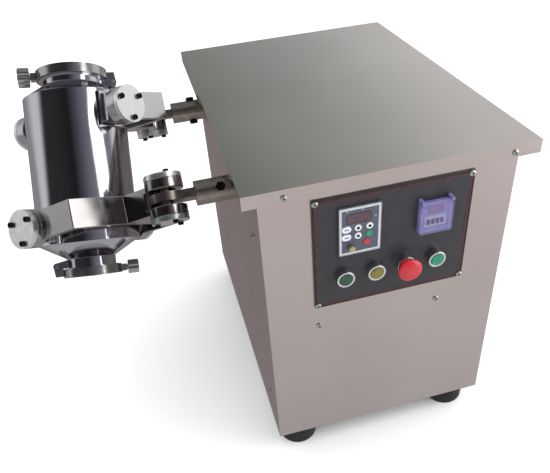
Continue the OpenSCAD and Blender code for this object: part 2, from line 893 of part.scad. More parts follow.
module stirrup(pin_bore, slot_half, web_r) {
    bow_x = back_out - bow_r;
    difference() {
        union() {
            // Straight legs
            for (s = [0, 1]) mirror([0, s, 0]) {
                translate([0, leg_in, -bar_w / 2]) cube([leg_len, bar_t, bar_w]);
                translate([0, leg_in + housing_w, 0]) rotate([90, 0, 0])
                    cylinder(h = housing_w, r = housing_r);
            }
            // Bowed back
            intersection() {
                difference() {
                    translate([bow_x, 0, -bar_w / 2]) cylinder(h = bar_w, r = bow_r);
                    translate([bow_x, 0, -bar_w]) cylinder(h = 2 * bar_w, r = bow_r - bar_t);
                }
                translate([leg_len - bar_t * fold_share, -leg_out, -bar_w])
                    cube([back_out, 2 * leg_out, 2 * bar_w]);
            }
            // Arm to the boss
            translate([back_out - bar_t / 2, -bar_w / 2, -bar_w / 2])
                cube([link - back_out + bar_t / 2, bar_w, bar_w]);
            translate([link, 0, -boss_half]) cylinder(h = 2 * boss_half, r = boss_r);
        }
        for (s = [-1, 1]) translate([0, s * (leg_in + housing_w / 2), 0]) rotate([90, 0, 0])
            translate([0, 0, -housing_w]) cylinder(h = 2 * housing_w, r = bush_r);
        translate([link, 0, -boss_half - over]) cylinder(h = 2 * boss_half + 2 * over, r = pin_bore);
        // Slot for the shaft's tongue
        translate([link, 0, -slot_half]) cylinder(h = 2 * slot_half, r = web_r);
        translate([link, -web_r, -slot_half]) cube([boss_r + over, 2 * web_r, 2 * slot_half]);
    }
}

// The two bushes in a stirrup's trunnion housings
module bushes() {
    for (s = [-1, 1]) translate([0, s * (leg_in + housing_w / 2), 0]) rotate([90, 0, 0])
        difference() {
            translate([0, 0, -housing_w / 2]) cylinder(h = housing_w, r = bush_r);
            translate([0, 0, -housing_w]) cylinder(h = 2 * housing_w, r = trunnion_r + running);
        }
}

// A round cap on the face at zero, with its socket screws
module cap(r) {
    cylinder(h = cap_t, r = r);
    for (i = [0 : cap_screws - 1]) rotate([0, 0, i * 360 / cap_screws + cap_screw_turn])
        translate([r * cap_screw_at_share, 0, cap_t]) difference() {
            cylinder(h = cap_screw_h, r = cap_screw_r);
            translate([0, 0, cap_screw_h - cap_socket_depth])
                cylinder(h = cap_socket_depth + over, r = cap_socket_r, $fn = 6);
        }
}

// The four caps of a stirrup
module caps() {
    for (s = [0, 1]) mirror([0, s, 0])
        translate([0, leg_in + housing_w, 0]) rotate([-90, 0, 0]) cap(housing_r);
    for (s = [0, 1]) translate([link, 0, 0]) mirror([0, 0, s])
        translate([0, 0, boss_half]) cap(boss_r);
}

module rear_stirrup() {
    color([0.72, 0.72, 0.7]) multmatrix(rear_frame)
        stirrup(pin_r, tongue_t / 2 + clear, boss_r + web_gap);
}

module rear_pin() {
    color("darkgray") multmatrix(rear_frame)
        translate([link, 0, -boss_half + pin_short])
            cylinder(h = 2 * (boss_half - pin_short), r = pin_r);
}

module rear_bushes() {
    color("peru") multmatrix(rear_frame) bushes();
}

module rear_caps() {
    color("white") multmatrix(rear_frame) caps();
}

module front_stirrup() {
    color([0.72, 0.72, 0.7]) multmatrix(front_frame)
        stirrup(pin_r + open_slack, tongue_t / 2 + open_slack, eye_r + open_slack);
}

module front_pin() {
    half = boss_half - open_slack;
    color("darkgray") multmatrix(front_shaft_frame)
        translate([0, 0, -half]) cylinder(h = 2 * half, r = pin_r);
}

module front_bushes() {
    color("peru") multmatrix(front_frame) bushes();
}

module front_caps() {
    color("white") multmatrix(front_frame) caps();
}

// BARREL
// The barrel in its own frame: upper trunnions along X through the origin, its lid up Z

side_top = side_above;
cone_top = side_top + cone_top_h;
neck_top = cone_top + neck_top_h;
side_low = -link - side_below;
cone_low = side_low - cone_low_h;
neck_low = cone_low - neck_low_h;

// Ear plates of a closure's hinge, for a neck of radius r, in the plane across the hinge
module ears(r) {
    pin_x = r + ferrule + hinge_out;
    for (s = [-1, 1]) translate([0, s * (arm_w / 2 + ear_gap + ear_t / 2), 0])
        rotate([90, 0, 0]) translate([0, 0, -ear_t / 2]) linear_extrude(height = ear_t) difference() {
            union() {
                translate([pin_x, -hinge_below]) circle(r = hinge_eye_r);
                polygon([[r - wall / 2, -hinge_below + hinge_eye_r - ferrule_t / 2],
                    [pin_x, -hinge_below + hinge_eye_r],
                    [pin_x + hinge_eye_r / 2, -hinge_below - hinge_eye_r * ear_foot_share],
                    [r - wall / 2, -hinge_below - hinge_eye_r - ferrule_t]]);
            }
            translate([pin_x, -hinge_below]) circle(r = hinge_pin_r);
        }
}

module barrel_shell() {
    ri = barrel_r - wall;
    color([0.55, 0.56, 0.6]) multmatrix(barrel_frame) {
        rotate_extrude() polygon([
            [neck_top_r - wall, neck_top + ferrule_t],
            [neck_top_r + ferrule, neck_top + ferrule_t],
            [neck_top_r + ferrule, neck_top], [neck_top_r, neck_top],
            [neck_top_r, cone_top], [barrel_r, side_top], [barrel_r, side_low],
            [neck_low_r, cone_low], [neck_low_r, neck_low],
            [neck_low_r + ferrule, neck_low], [neck_low_r + ferrule, neck_low - ferrule_t],
            [neck_low_r - wall, neck_low - ferrule_t], [neck_low_r - wall, cone_low],
            [ri, side_low], [ri, side_top], [neck_top_r - wall, cone_top]]);
        rotate([0, 0, closure_turn]) translate([0, 0, neck_top]) ears(neck_top_r);
        rotate([0, 0, closure_turn + 180]) translate([0, 0, neck_low]) mirror([0, 0, 1])
            ears(neck_low_r);
    }
}

// The two trunnions of one level, along X, with their pads on the barrel
module trunnion_pair() {
    difference() {
        for (s = [0, 1]) mirror([s, 0, 0]) {
            translate([0, -pad_w / 2, -pad_h / 2]) cube([barrel_r + pad_t, pad_w, pad_h]);
            translate([0, -block_wide / 2, -block_high / 2]) cube([block_out, block_wide, block_high]);
            rotate([0, 90, 0]) cylinder(h = collar_end, r = trunnion_collar_r);
            rotate([0, 90, 0]) cylinder(h = trunnion_end, r = trunnion_r);
        }
        translate([0, 0, -pad_h]) cylinder(h = 2 * pad_h, r = barrel_r);
    }
}

module trunnions() {
    color([0.66, 0.66, 0.68]) multmatrix(barrel_frame) {
        trunnion_pair();
        translate([0, 0, -link]) rotate([0, 0, 90]) trunnion_pair();
    }
}

// A flat ring seal on the face at zero
module gasket(r) {
    difference() {
        cylinder(h = gasket_t, r = r + ferrule);
        translate([0, 0, -over]) cylinder(h = gasket_t + 2 * over, r = r - wall);
    }
}

// Runs its children at each neck: z up is away from the barrel, X towards the hinge
module at_top() {
    multmatrix(barrel_frame) rotate([0, 0, closure_turn])
        translate([0, 0, neck_top + ferrule_t]) children();
}

module at_bottom() {
    multmatrix(barrel_frame) rotate([0, 0, closure_turn + 180])
        translate([0, 0, neck_low - ferrule_t]) mirror([0, 0, 1]) children();
}

module neck_gaskets() {
    color("white") {
        at_top() gasket(neck_top_r);
        at_bottom() gasket(neck_low_r);
    }
}

// A closing disc with a low dished rise in its middle
module cover(r) {
    rim = r + ferrule + ring_gap / 2;
    translate([0, 0, gasket_t + seat_gap]) rotate_extrude() polygon([
        [0, cover_t / 2], [r / 2, cover_t / 4], [r - wall, 0], [rim, 0], [rim, cover_t],
        [r - ring_lip, cover_t], [r * dish_share, cover_t + cover_rise * dish_share],
        [0, cover_t + cover_rise]]);
}

// The ring that holds a cover down, with its hinge arm and its screw lug
module clamp(r) {
    inner = r + ferrule + ring_gap;
    outer = inner + ring_t;
    low = -ring_skirt;
    high = cover_high + ring_over_t;
    pin_x = r + ferrule + hinge_out;
    pin_z = -ferrule_t - hinge_below;
    difference() {
        union() {
            translate([0, 0, low]) cylinder(h = high - low, r = outer);
            // Hinge arm
            rotate([90, 0, 0]) translate([0, 0, -arm_w / 2]) linear_extrude(height = arm_w) union() {
                translate([pin_x, pin_z]) circle(r = hinge_eye_r);
                polygon([[inner + ring_t / 2, low + ring_t / 2], [inner + ring_t / 2, high - ring_t],
                    [pin_x + hinge_eye_r * arm_top_share, high - ring_t], [pin_x + hinge_eye_r, pin_z],
                    [pin_x - hinge_eye_r, pin_z]]);
            }
            // Lug for the clamp screw
            translate([-outer - lug_len, -lug_w / 2, high - lug_h - ring_t / 2])
                cube([lug_len + ring_t, lug_w, lug_h]);
        }
        translate([0, 0, low - over]) cylinder(h = cover_high - low + over, r = inner);
        translate([0, 0, low]) cylinder(h = high - low + over, r = r - ring_lip / 2);
        translate([pin_x, 0, pin_z]) rotate([90, 0, 0]) translate([0, 0, -arm_w])
            cylinder(h = 2 * arm_w, r = hinge_pin_r + running);
        translate([-outer - lug_len - over, 0, high - ring_t / 2 - lug_h / 2]) rotate([0, 90, 0])
            cylinder(h = lug_len + ring_t + over + ring_t, r = knob_screw_r + running);
    }
}

// The screw with its lobed knob that locks the ring
module clamp_knob(r, head_r) {
    inner = r + ferrule + ring_gap;
    outer = inner + ring_t;
    high = cover_high + ring_over_t;
    start = -outer - lug_len - knob_gap;
    translate([0, 0, high - ring_t / 2 - lug_h / 2]) {
        translate([start - knob_depth / 2, 0, 0]) rotate([0, 90, 0])
            cylinder(h = -start - inner + knob_depth / 2, r = knob_screw_r);
        difference() {
            translate([start, 0, 0]) rotate([0, -90, 0]) {
                cylinder(h = knob_depth, r = head_r * (1 - lobe_share / 2));
                for (i = [0 : knob_lobes - 1]) rotate([0, 0, i * 360 / knob_lobes])
                    translate([head_r * (1 - lobe_share), 0, 0])
                        cylinder(h = knob_depth, r = head_r * lobe_share);
                translate([0, 0, -knob_gap / 2]) cylinder(h = knob_gap, r = head_r * lobe_share);
            }
            translate([start - knob_depth / 2, 0, 0]) rotate([0, 90, 0])
                cylinder(h = knob_depth, r = knob_screw_r);
        }
    }
}

// The hinge pin of a closure
module hinge_pin(r) {
    pin_half = arm_w / 2 + ear_gap + ear_t + hinge_pin_r / 2;
    translate([r + ferrule + hinge_out, 0, -ferrule_t - hinge_below]) rotate([90, 0, 0])
        translate([0, 0, -pin_half]) cylinder(h = 2 * pin_half, r = hinge_pin_r);
}

module hinge_pins() {
    color("darkgray") {
        at_top() hinge_pin(neck_top_r);
        at_bottom() hinge_pin(neck_low_r);
    }
}

module lid() {
    color([0.7, 0.7, 0.72]) at_top() cover(neck_top_r);
}

module top_clamp() {
    color([0.62, 0.62, 0.64]) at_top() clamp(neck_top_r);
}

module top_knob() {
    color([0.5, 0.5, 0.5]) at_top() clamp_knob(neck_top_r, top_knob_r);
}

module bottom_cover() {
    color([0.7, 0.7, 0.72]) at_bottom() cover(neck_low_r);
}

module bottom_clamp() {
    color([0.62, 0.62, 0.64]) at_bottom() clamp(neck_low_r);
}

module bottom_knob() {
    color([0.5, 0.5, 0.5]) at_bottom() clamp_knob(neck_low_r, low_knob_r);
}

// CONTROL PLATE

module control_plate() {
    color([0.2, 0.2, 0.22]) difference() {
        translate([control_x - control_w / 2, plate_y, control_z - control_h / 2])
            cube([control_w, control_t, control_h]);
        control_cuts(plate_y - over, plate_y + control_t + over);
    }
}

// Places of the keys, as X and Z, in the order mode, store, up, down, shift, run, stop
key_places = [
    [key_left_x, key_top_z], [key_left_x, key_top_z - key_pitch_z],
    [key_left_x + key_pitch_x, key_top_z], [key_left_x + key_pitch_x, key_top_z - key_pitch_z],
    [key_left_x + 2 * key_pitch_x, key_top_z],
    [key_left_x + 2 * key_pitch_x, key_top_z - key_pitch_z],
    [key_left_x + 2 * key_pitch_x - stop_key_dx, key_top_z - 2 * key_pitch_z]];
face_y = plate_y - keypad_out;
knob_x = key_left_x + knob_dx;
knob_z = key_top_z - knob_down;

// A key's outline, grown by a gap, from one Y to another: a disc or a short oval
module key_form(i, gap, y0, y1) {
    p = key_places[i];
    half = i < 2 ? key_oval : 0;
    bar_y(key_r + gap, y0, y1, p.x - half, p.y);
    if (half > 0) {
        bar_y(key_r + gap, y0, y1, p.x + half, p.y);
        translate([p.x - half, y0, p.y - key_r - gap]) cube([2 * half, y1 - y0, 2 * (key_r + gap)]);
    }
}

module keypad_bezel() {
    back_w = keypad_w - 2 * keypad_rim;
    back_h = keypad_h - 2 * keypad_rim;
    color([0.75, 0.76, 0.78]) difference() {
        union() {
            translate([keypad_x - keypad_w / 2, face_y, keypad_z - keypad_h / 2])
                cube([keypad_w, keypad_out, keypad_h]);
            translate([keypad_x - back_w / 2, plate_y - over, keypad_z - back_h / 2])
                cube([back_w, keypad_back, back_h]);
        }
        for (i = [0 : len(key_places) - 1])
            key_form(i, key_gap, face_y - over, face_y + key_hole_depth);
        bar_y(knob_shaft_r + running, face_y - over, face_y + key_hole_depth * 2, knob_x, knob_z);
    }
}

// One key of the keypad
module key(i, tint) {
    color(tint) key_form(i, 0, face_y - key_out, face_y + key_depth - key_out);
}

module speed_knob() {
    color([0.72, 0.68, 0.45]) {
        bar_y(knob_r, face_y - knob_len, face_y - clear, knob_x, knob_z);
        bar_y(knob_shaft_r, face_y - clear - over / 2, face_y + key_hole_depth, knob_x, knob_z);
    }
}

module timer_case() {
    case_y = plate_y - timer_out;
    ear_x = timer_w / 2 - flap_ear_w;
    color([0.75, 0.75, 0.85]) difference() {
        union() {
            translate([timer_x - timer_w / 2, case_y, timer_z - timer_w / 2])
                cube([timer_w, timer_out, timer_w]);
            translate([timer_x - timer_body_w / 2, plate_y - over, timer_z - timer_body_w / 2])
                cube([timer_body_w, timer_body_len, timer_body_w]);
            // Ears that hold the flap's pins
            for (s = [0, 1]) translate([timer_x, 0, timer_z + timer_w / 2]) mirror([s, 0, 0]) {
                translate([ear_x + clear, case_y, -over])
                    cube([flap_ear_w - clear, timer_out, flap_ear_h + over]);
                translate([ear_x + clear, flap_axis_y - flap_pin_r * 2, 0])
                    cube([flap_ear_w - clear, case_y - flap_axis_y + flap_pin_r * 2 + over,
                        flap_ear_h]);
            }
        }
        // Window recess
        translate([timer_x - timer_body_w / 2 + over, case_y - over, timer_z - timer_body_w / 2 + over])
            cube([timer_body_w - 2 * over, over + timer_out / 4, timer_body_w - 2 * over]);
        bar_x(flap_pin_r + running, timer_x - timer_w, timer_x + timer_w, flap_axis_y, flap_axis_z);
    }
}

// The flap's hinge line
flap_axis_y = plate_y - timer_out - flap_gap - flap_t / 2;
flap_axis_z = timer_z + timer_w / 2 + flap_pin_r + clear;

module timer_flap() {
    ear_x = timer_w / 2 - flap_ear_w;
    color([0.45, 0.4, 0.8, 0.6]) {
        translate([timer_x - timer_w / 2, flap_axis_y - flap_t / 2, timer_z - timer_w / 2])
            cube([timer_w, flap_t, timer_w - flap_notch]);
        translate([timer_x - ear_x, flap_axis_y - flap_t / 2, timer_z])
            cube([2 * ear_x, flap_t, timer_w / 2]);
        bar_x(flap_pin_r, timer_x - timer_w / 2 + over, timer_x + timer_w / 2 - over,
            flap_axis_y, flap_axis_z);
        translate([timer_x - ear_x, flap_axis_y - flap_pin_r, timer_z + timer_w / 2 - over])
            cube([2 * ear_x, 2 * flap_pin_r, flap_pin_r + clear + over]);
    }
}

// Collars with their threaded tubes and nuts, round the stems of the buttons
module button_collars() {
    color("gainsboro") for (i = [0 : 3]) {
        x = button_xs[i];
        out = i == 2 ? collar_h * stop_collar_share : collar_h;
        difference() {
            union() {
                bar_y(collar_r, plate_y - out, plate_y, x, button_z);
                bar_y(button_hole_r, plate_y - over, plate_y + tube_len, x, button_z);
                bar_y(nut_r, front_y + sheet, front_y + sheet + nut_t, x, button_z);
            }
            bar_y(collar_bore, plate_y - out - over, plate_y - clear, x, button_z);
            bar_y(stem_r + clear, plate_y - out, plate_y + tube_len + over, x, button_z);
        }
    }
}

module contact_blocks() {
    start = plate_y + block_start;
    color([0.15, 0.3, 0.2]) for (x = button_xs) difference() {
        translate([x - contact_w / 2, start - block_start + tube_len, button_z - contact_h / 2])
            cube([contact_w, contact_len, contact_h]);
        bar_y(stem_r + clear, plate_y, start + button_travel + clear, x, button_z);
    }
}

// A round flat button with its stem
module flat_button(x, tint) {
    color(tint) {
        bar_y(cap_r, plate_y - collar_h - over, plate_y - button_travel - 2 * clear, x, button_z);
        bar_y(stem_r, plate_y - button_travel - over, plate_y + block_start - clear, x, button_z);
    }
}

module start_button() {
    flat_button(button_xs[0], [0.05, 0.3, 0.2]);
}

module jog_button() {
    flat_button(button_xs[1], [0.5, 0.5, 0.1]);
}

module stop_button() {
    x = button_xs[2];
    color([0.85, 0.1, 0.12]) translate([x, plate_y, button_z]) rotate([90, 0, 0]) {
        rotate_extrude() polygon(concat([[0, mushroom_out - mushroom_rim]],
            [for (p = mushroom_rim_shares) [mushroom_r * p.x, mushroom_out + mushroom_rim * p.y]],
            [for (p = mushroom_crown_shares) [mushroom_r * p.x, mushroom_out + mushroom_rise * p.y]]));
        translate([0, 0, button_travel + over])
            cylinder(h = mushroom_out - button_travel - mushroom_rim, r = cap_r);
        translate([0, 0, -block_start + clear])
            cylinder(h = block_start + button_travel + 2 * over, r = stem_r);
    }
}

module power_lamp() {
    x = button_xs[3];
    color([0.1, 0.55, 0.45]) {
        bar_y(cap_r, plate_y - collar_h - over, plate_y - clear, x, button_z);
        bar_y(stem_r, plate_y - over, plate_y + tube_len, x, button_z);
    }
}

module inverter() {
    start = plate_y - over + keypad_back;
    color([0.25, 0.26, 0.28])
        translate([keypad_x - inverter_w / 2, start, keypad_z - inverter_h / 2])
            cube([inverter_w, inverter_len, inverter_h]);
}

module cable_gland() {
    color([0.12, 0.12, 0.13]) difference() {
        union() {
            bar_y(gland_r, half_d - sheet - gland_inner, half_d + over, gland_x, gland_z);
            translate([gland_x, half_d, gland_z]) rotate([-90, 0, 0]) {
                cylinder(h = gland_hex_t, r = gland_hex_r, $fn = 6);
                cylinder(h = gland_hex_t + gland_dome_len, r = gland_dome_r);
            }
            translate([gland_x, half_d - sheet - gland_hex_t, gland_z]) rotate([-90, 0, 0])
                cylinder(h = gland_hex_t, r = gland_hex_r, $fn = 6);
        }
        bar_y(gland_bore, half_d - sheet - gland_inner - over,
            half_d + gland_hex_t + gland_dome_len + over, gland_x, gland_z);
    }
}

frame();
bearing_portals();
front_panel();
left_panel();
right_panel();
back_panel();
top_plate();
feet();
cabinet_fasteners();
pillow_blocks();
bearing_inserts();
gearbox();
motor();
fan_cover();
drive_belt();
inverter();
cable_gland();
control_plate();
keypad_bezel();
timer_case();
button_collars();
contact_blocks();
power_lamp();
timer_flap();
start_button();
jog_button();
stop_button();
key(0, "white");  // key_mode
key(1, "white");  // key_store
key(2, "white");  // key_up
key(3, "white");  // key_down
key(4, "white");  // key_shift
key(5, "seagreen");  // key_run
key(6, "firebrick");  // key_stop
speed_knob();
drive_shaft();
drive_pulley();
drive_cross_bolt();
gearbox_output();
motor_fan();
driven_shaft();
driven_cross_bolt();
front_pin();
rear_stirrup();
rear_pin();
rear_bushes();
rear_caps();
front_stirrup();
front_bushes();
front_caps();
barrel_shell();
trunnions();
neck_gaskets();
hinge_pins();
lid();
top_clamp();
top_knob();
bottom_cover();
bottom_clamp();
bottom_knob();
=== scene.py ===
# %% [markdown]
# # A laboratory three-dimensional mixer
# This lesson dresses a small steel mixing machine: a sheet-steel cabinet with a control plate, and
# a polished barrel that two stirrups carry between two parallel shafts. The construction comes from
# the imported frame, where every part already stands at its real size and place. What is left is the
# look: rounded edges, brushed and polished steel, moulded plastic, printed film, rubber and light.

# %% Load the frame and the tools
import json
import math

import bmesh
import bpy
from mathutils import Matrix, Vector

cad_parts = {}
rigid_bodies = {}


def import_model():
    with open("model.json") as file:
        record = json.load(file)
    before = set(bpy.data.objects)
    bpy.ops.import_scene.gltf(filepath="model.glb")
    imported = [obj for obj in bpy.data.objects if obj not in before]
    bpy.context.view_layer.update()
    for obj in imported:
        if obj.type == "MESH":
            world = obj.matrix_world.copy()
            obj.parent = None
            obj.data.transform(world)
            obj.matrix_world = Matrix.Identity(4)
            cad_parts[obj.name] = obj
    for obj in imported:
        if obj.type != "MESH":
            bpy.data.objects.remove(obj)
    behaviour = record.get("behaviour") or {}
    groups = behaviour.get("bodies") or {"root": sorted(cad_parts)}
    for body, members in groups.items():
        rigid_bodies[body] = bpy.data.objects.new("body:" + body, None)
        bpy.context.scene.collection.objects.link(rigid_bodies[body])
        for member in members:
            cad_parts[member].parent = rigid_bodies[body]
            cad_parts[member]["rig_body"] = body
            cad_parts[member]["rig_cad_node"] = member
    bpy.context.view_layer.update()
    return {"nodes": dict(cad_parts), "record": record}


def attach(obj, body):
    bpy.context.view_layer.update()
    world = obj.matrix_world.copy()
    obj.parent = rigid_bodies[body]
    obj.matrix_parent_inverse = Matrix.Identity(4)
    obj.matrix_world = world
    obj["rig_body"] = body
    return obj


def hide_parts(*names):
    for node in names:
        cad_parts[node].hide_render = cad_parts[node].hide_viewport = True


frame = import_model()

MM = 0.001
NODES = frame["nodes"]
BODIES = frame["record"]["behaviour"]["bodies"]
BODY_OF = {node: body for body, nodes in BODIES.items() for node in nodes}

# %% [markdown]
# ## The camera
# The picture was taken from above the machine and a little to its left, with the camera slightly
# tilted. The eye's place and the three angles were worked out from the cabinet's straight edges. A
# camera could be aimed with a constraint, but a matrix says the roll as well, so one is built here.

# %% Place the camera
EYE = Vector((-320.5, -988.7, 1017.7)) * MM
AZIMUTH = math.radians(-11.614)
ELEVATION = math.radians(35.865)
ROLL = math.radians(-4.898)
LENS_MM, SENSOR_MM = 39.37, 36

back = Vector((math.sin(AZIMUTH) * math.cos(ELEVATION),
               -math.cos(AZIMUTH) * math.cos(ELEVATION),
               math.sin(ELEVATION)))
level = Vector((math.cos(AZIMUTH), math.sin(AZIMUTH), 0))
above = back.cross(level)
right = level * math.cos(ROLL) + above * math.sin(ROLL)
up = above * math.cos(ROLL) - level * math.sin(ROLL)
bpy.ops.object.camera_add()
camera = bpy.context.object
camera.data.lens = LENS_MM
camera.data.sensor_width = SENSOR_MM
turn = Matrix((right, up, back)).transposed().to_4x4()
camera.matrix_world = Matrix.Translation(EYE) @ turn
bpy.context.scene.camera = camera
print("camera at", tuple(round(x, 3) for x in EYE))

# %% [markdown]
# ## Colour, nodes and materials
# Colours are picked as on a screen, in sRGB, but a shader wants linear light, so one function turns
# them. A second one adds any node with its settings and links, and a third starts a material. Every
# pattern is one noise at a real size in millimetres, and a surface varies in three ways by such
# patterns: in colour, in gloss and in relief. With that each finish below stays short to read.

# %% Helpers for materials
def colour(code):
    """The linear colour of an sRGB hex code."""
    parts = [int(code[i:i + 2], 16) / 255 for i in (1, 3, 5)]
    return (*[x / 12.92 if x <= 0.04045 else ((x + 0.055) / 1.055) ** 2.4 for x in parts], 1.0)


def add_node(tree, kind, inputs=None, stops=(), **settings):
    """Adds a node: settings are its own values, inputs are numbers, hex colours or sockets to link,
    and stops are the (place, hex colour) pairs of a colour ramp."""
    node = tree.nodes.new(kind)
    for key, value in settings.items():
        setattr(node, key, value)
    for key, value in (inputs or {}).items():
        if isinstance(value, bpy.types.NodeSocket):
            tree.links.new(value, node.inputs[key])
        else:
            node.inputs[key].default_value = colour(value) if isinstance(value, str) else value
    if stops:
        band = node.color_ramp.elements
        while len(band) < len(stops):
            band.new(0.5)
        for element, (place, code) in zip(band, stops):
            element.position = place
            element.color = colour(code)
    return node


def start_material(name, base, metallic, roughness, **sockets):
    """A material with its shader set, ready for a pattern. Returns it, its tree and the shader."""
    made = bpy.data.materials.new(name)
    made.use_nodes = True
    tree = made.node_tree
    shader = tree.nodes["Principled BSDF"]
    shader.inputs["Base Color"].default_value = colour(base)
    shader.inputs["Metallic"].default_value = metallic
    shader.inputs["Roughness"].default_value = roughness
    for key, value in sockets.items():
        shader.inputs[key.replace("_", " ")].default_value = value
    made.diffuse_color = colour(base)
    return made, tree, shader


def pattern(tree, size_mm, detail=4.0, along=0, stretch=1.0):
    """Soft spots size_mm across. A stretch draws them out along an axis into streaks."""
    place = add_node(tree, "ShaderNodeTexCoord")
    scale = [1 / (size_mm * MM)] * 3
    scale[along] /= stretch
    mapped = add_node(tree, "ShaderNodeMapping",
                      {"Vector": place.outputs["Object"], "Scale": scale})
    noise = add_node(tree, "ShaderNodeTexNoise",
                     {"Vector": mapped.outputs["Vector"], "Scale": 1.0, "Detail": detail})
    return noise.outputs["Fac"]


def vary(tree, shader, tint=None, gloss=None, relief=None):
    """Varies a surface by patterns. tint is (pattern, colour stops), gloss is (pattern, lowest and
    highest roughness) and relief is (pattern, depth in mm, strength)."""
    if tint:
        node = add_node(tree, "ShaderNodeValToRGB", {"Fac": tint[0]}, stops=tint[1])
        tree.links.new(node.outputs["Color"], shader.inputs["Base Color"])
    if gloss:
        node = add_node(tree, "ShaderNodeMapRange",
                        {"Value": gloss[0], "To Min": gloss[1], "To Max": gloss[2]})
        tree.links.new(node.outputs["Result"], shader.inputs["Roughness"])
    if relief:
        node = add_node(tree, "ShaderNodeBump", {"Height": relief[0], "Strength": relief[2],
                                                 "Distance": relief[1] * MM})
        tree.links.new(node.outputs["Normal"], shader.inputs["Normal"])


# %% [markdown]
# ## Stainless steel, sheet
# The cabinet is folded from stainless sheet with a fine satin face: rolled, then rubbed with a fine
# abrasive belt. From a step away no single scratch shows. What the eye sees is a smooth grey that
# takes the colour of its surroundings, a reflection blurred along the rubbing, and faint cloudy
# patches where the sheet isn't perfectly flat. So the scratches are kept very weak: a quarter of a
# millimetre wide, and two thousandths deep. They run upwards on the panels and from front to back
# on the top.

# %% Satin sheet
def satin_sheet(name, base, light, roughness, along):
    grain_mm, grain_stretch, grain_depth_mm, grain_strength = 0.25, 120, 0.002, 0.35
    cloud_mm = 210.0
    made, tree, shader = start_material(name, base, 1.0, roughness, Anisotropic=0.3)
    fine = pattern(tree, grain_mm, 3.0, along, grain_stretch)
    cloud = pattern(tree, cloud_mm, 1.5)
    vary(tree, shader, tint=(cloud, [(0.3, base), (0.7, light)]),
         gloss=(fine, roughness - 0.03, roughness + 0.05),
         relief=(fine, grain_depth_mm, grain_strength))
    return made


front_steel = satin_sheet("satin_stainless_front", "#c9beb9", "#d0c6c1", 0.30, along=2)
# The side and back panels get a slightly darker copy of the front's sheet colour: painted shade.
shaded_side_steel = satin_sheet("satin_stainless_side_painted_shade", "#c2bab6", "#cbc3bf", 0.26, along=2)
top_steel = satin_sheet("satin_stainless_top", "#c9beb9", "#d0c6c1", 0.24, along=1)
print("sheets ready")

# %% [markdown]
# ## Stainless steel, polished
# The barrel, the stirrups and the caps were ground and then buffed to a mirror, as all that touches
# food is. A mirror shows its surroundings, so its own colour is a pale grey and its roughness is
# low, but buffing leaves faint waves and cloudy patches, which break the reflection a little. The
# front stirrup gets a darker copy of the same steel: painted shade. The castings of the clamps have
# short waves, and the ground caps are the palest. Chrome plate on the button collars is the
# smoothest of all.

# %% Polished steel
def polished_steel(name, base, roughness, wave_mm=26.0, wave_depth=0.05):
    haze_mm, wave_strength = 1.3, 0.5
    made, tree, shader = start_material(name, base, 1.0, roughness)
    cloud = pattern(tree, wave_mm)
    fine = pattern(tree, haze_mm, 6.0)
    mixed = add_node(tree, "ShaderNodeMath", {0: cloud, 1: fine}, operation="MULTIPLY")
    vary(tree, shader, gloss=(mixed.outputs[0], roughness * 0.6, roughness * 2.4),
         relief=(cloud, wave_depth, wave_strength))
    return made


barrel_steel = polished_steel("polished_stainless_barrel", "#c6c4ca", 0.10)
stirrup_steel = polished_steel("polished_stainless_stirrup", "#c4c4c2", 0.14)
# A darker copy of the stirrup steel for the front stirrup: painted shade.
shaded_front_stirrup_steel = polished_steel("polished_stainless_front_stirrup_painted_shade", "#a5a19f", 0.16)
clamp_steel = polished_steel("cast_stainless_clamps", "#b4b2b0", 0.2, wave_mm=7.0, wave_depth=0.08)
cap_steel = polished_steel("polished_stainless_caps", "#f0f1ee", 0.3, wave_mm=12.0)
chrome = polished_steel("chrome_plate", "#e2e2e2", 0.06, wave_mm=9.0, wave_depth=0.01)


# %% [markdown]
# ## Turned and cut steel
# Shafts, pins, bolts and pulleys come off a lathe or a mill and aren't buffed. They look darker,
# with rings or lines from the tool. Zinc plate makes a bolt paler, black oxide nearly black, and
# bronze and brass keep their own yellow.

# %% Turned steel
def turned_steel(name, base, light, roughness, along):
    ring_mm, ring_squeeze, ring_depth_mm, ring_strength = 0.9, 0.02, 0.01, 0.5
    cloud_mm = 12.0
    made, tree, shader = start_material(name, base, 1.0, roughness)
    rings = pattern(tree, ring_mm, 2.0, along, ring_squeeze)
    cloud = pattern(tree, cloud_mm)
    vary(tree, shader, tint=(cloud, [(0.3, base), (0.75, light)]),
         gloss=(cloud, roughness - 0.08, roughness + 0.12),
         relief=(rings, ring_depth_mm, ring_strength))
    return made


shaft_steel = turned_steel("turned_steel_shafts", "#8a817a", "#a39a92", 0.30, along=0)
bolt_steel = turned_steel("zinc_plated_bolts", "#b6b6b0", "#d2d2cc", 0.28, along=2)
dark_bolt = turned_steel("black_oxide_bolts", "#2a2928", "#3d3b39", 0.38, along=2)
pulley_steel = turned_steel("turned_steel_pulleys", "#8c8c8c", "#a9a9a9", 0.32, along=0)
bronze = turned_steel("sintered_bronze", "#9a6f3c", "#b98a50", 0.42, along=0)
brass = turned_steel("turned_brass_knob", "#b8ad78", "#d5cc9c", 0.26, along=1)


# %% [markdown]
# ## Plastics, rubber and paint
# Moulded ABS has a faint orange-peel and a soft gloss. Rubber is darker, nearly matt, with a fine
# grain. The castings inside are painted. One recipe serves them all: a base colour that wanders a
# little, a roughness that wanders with it, and a shallow bump of the right grain.

# %% Moulded and painted finishes
def moulded(name, dark, light, roughness, grain_mm=0.8, depth_mm=0.01, **sockets):
    cloud_mm, grain_strength = 9.0, 0.5
    made, tree, shader = start_material(name, dark, 0.0, roughness, **sockets)
    cloud = pattern(tree, cloud_mm)
    grain = pattern(tree, grain_mm, 2.0)
    vary(tree, shader, tint=(cloud, [(0.3, dark), (0.7, light)]),
         gloss=(grain, roughness - 0.06, roughness + 0.1),
         relief=(grain, depth_mm, grain_strength))
    return made


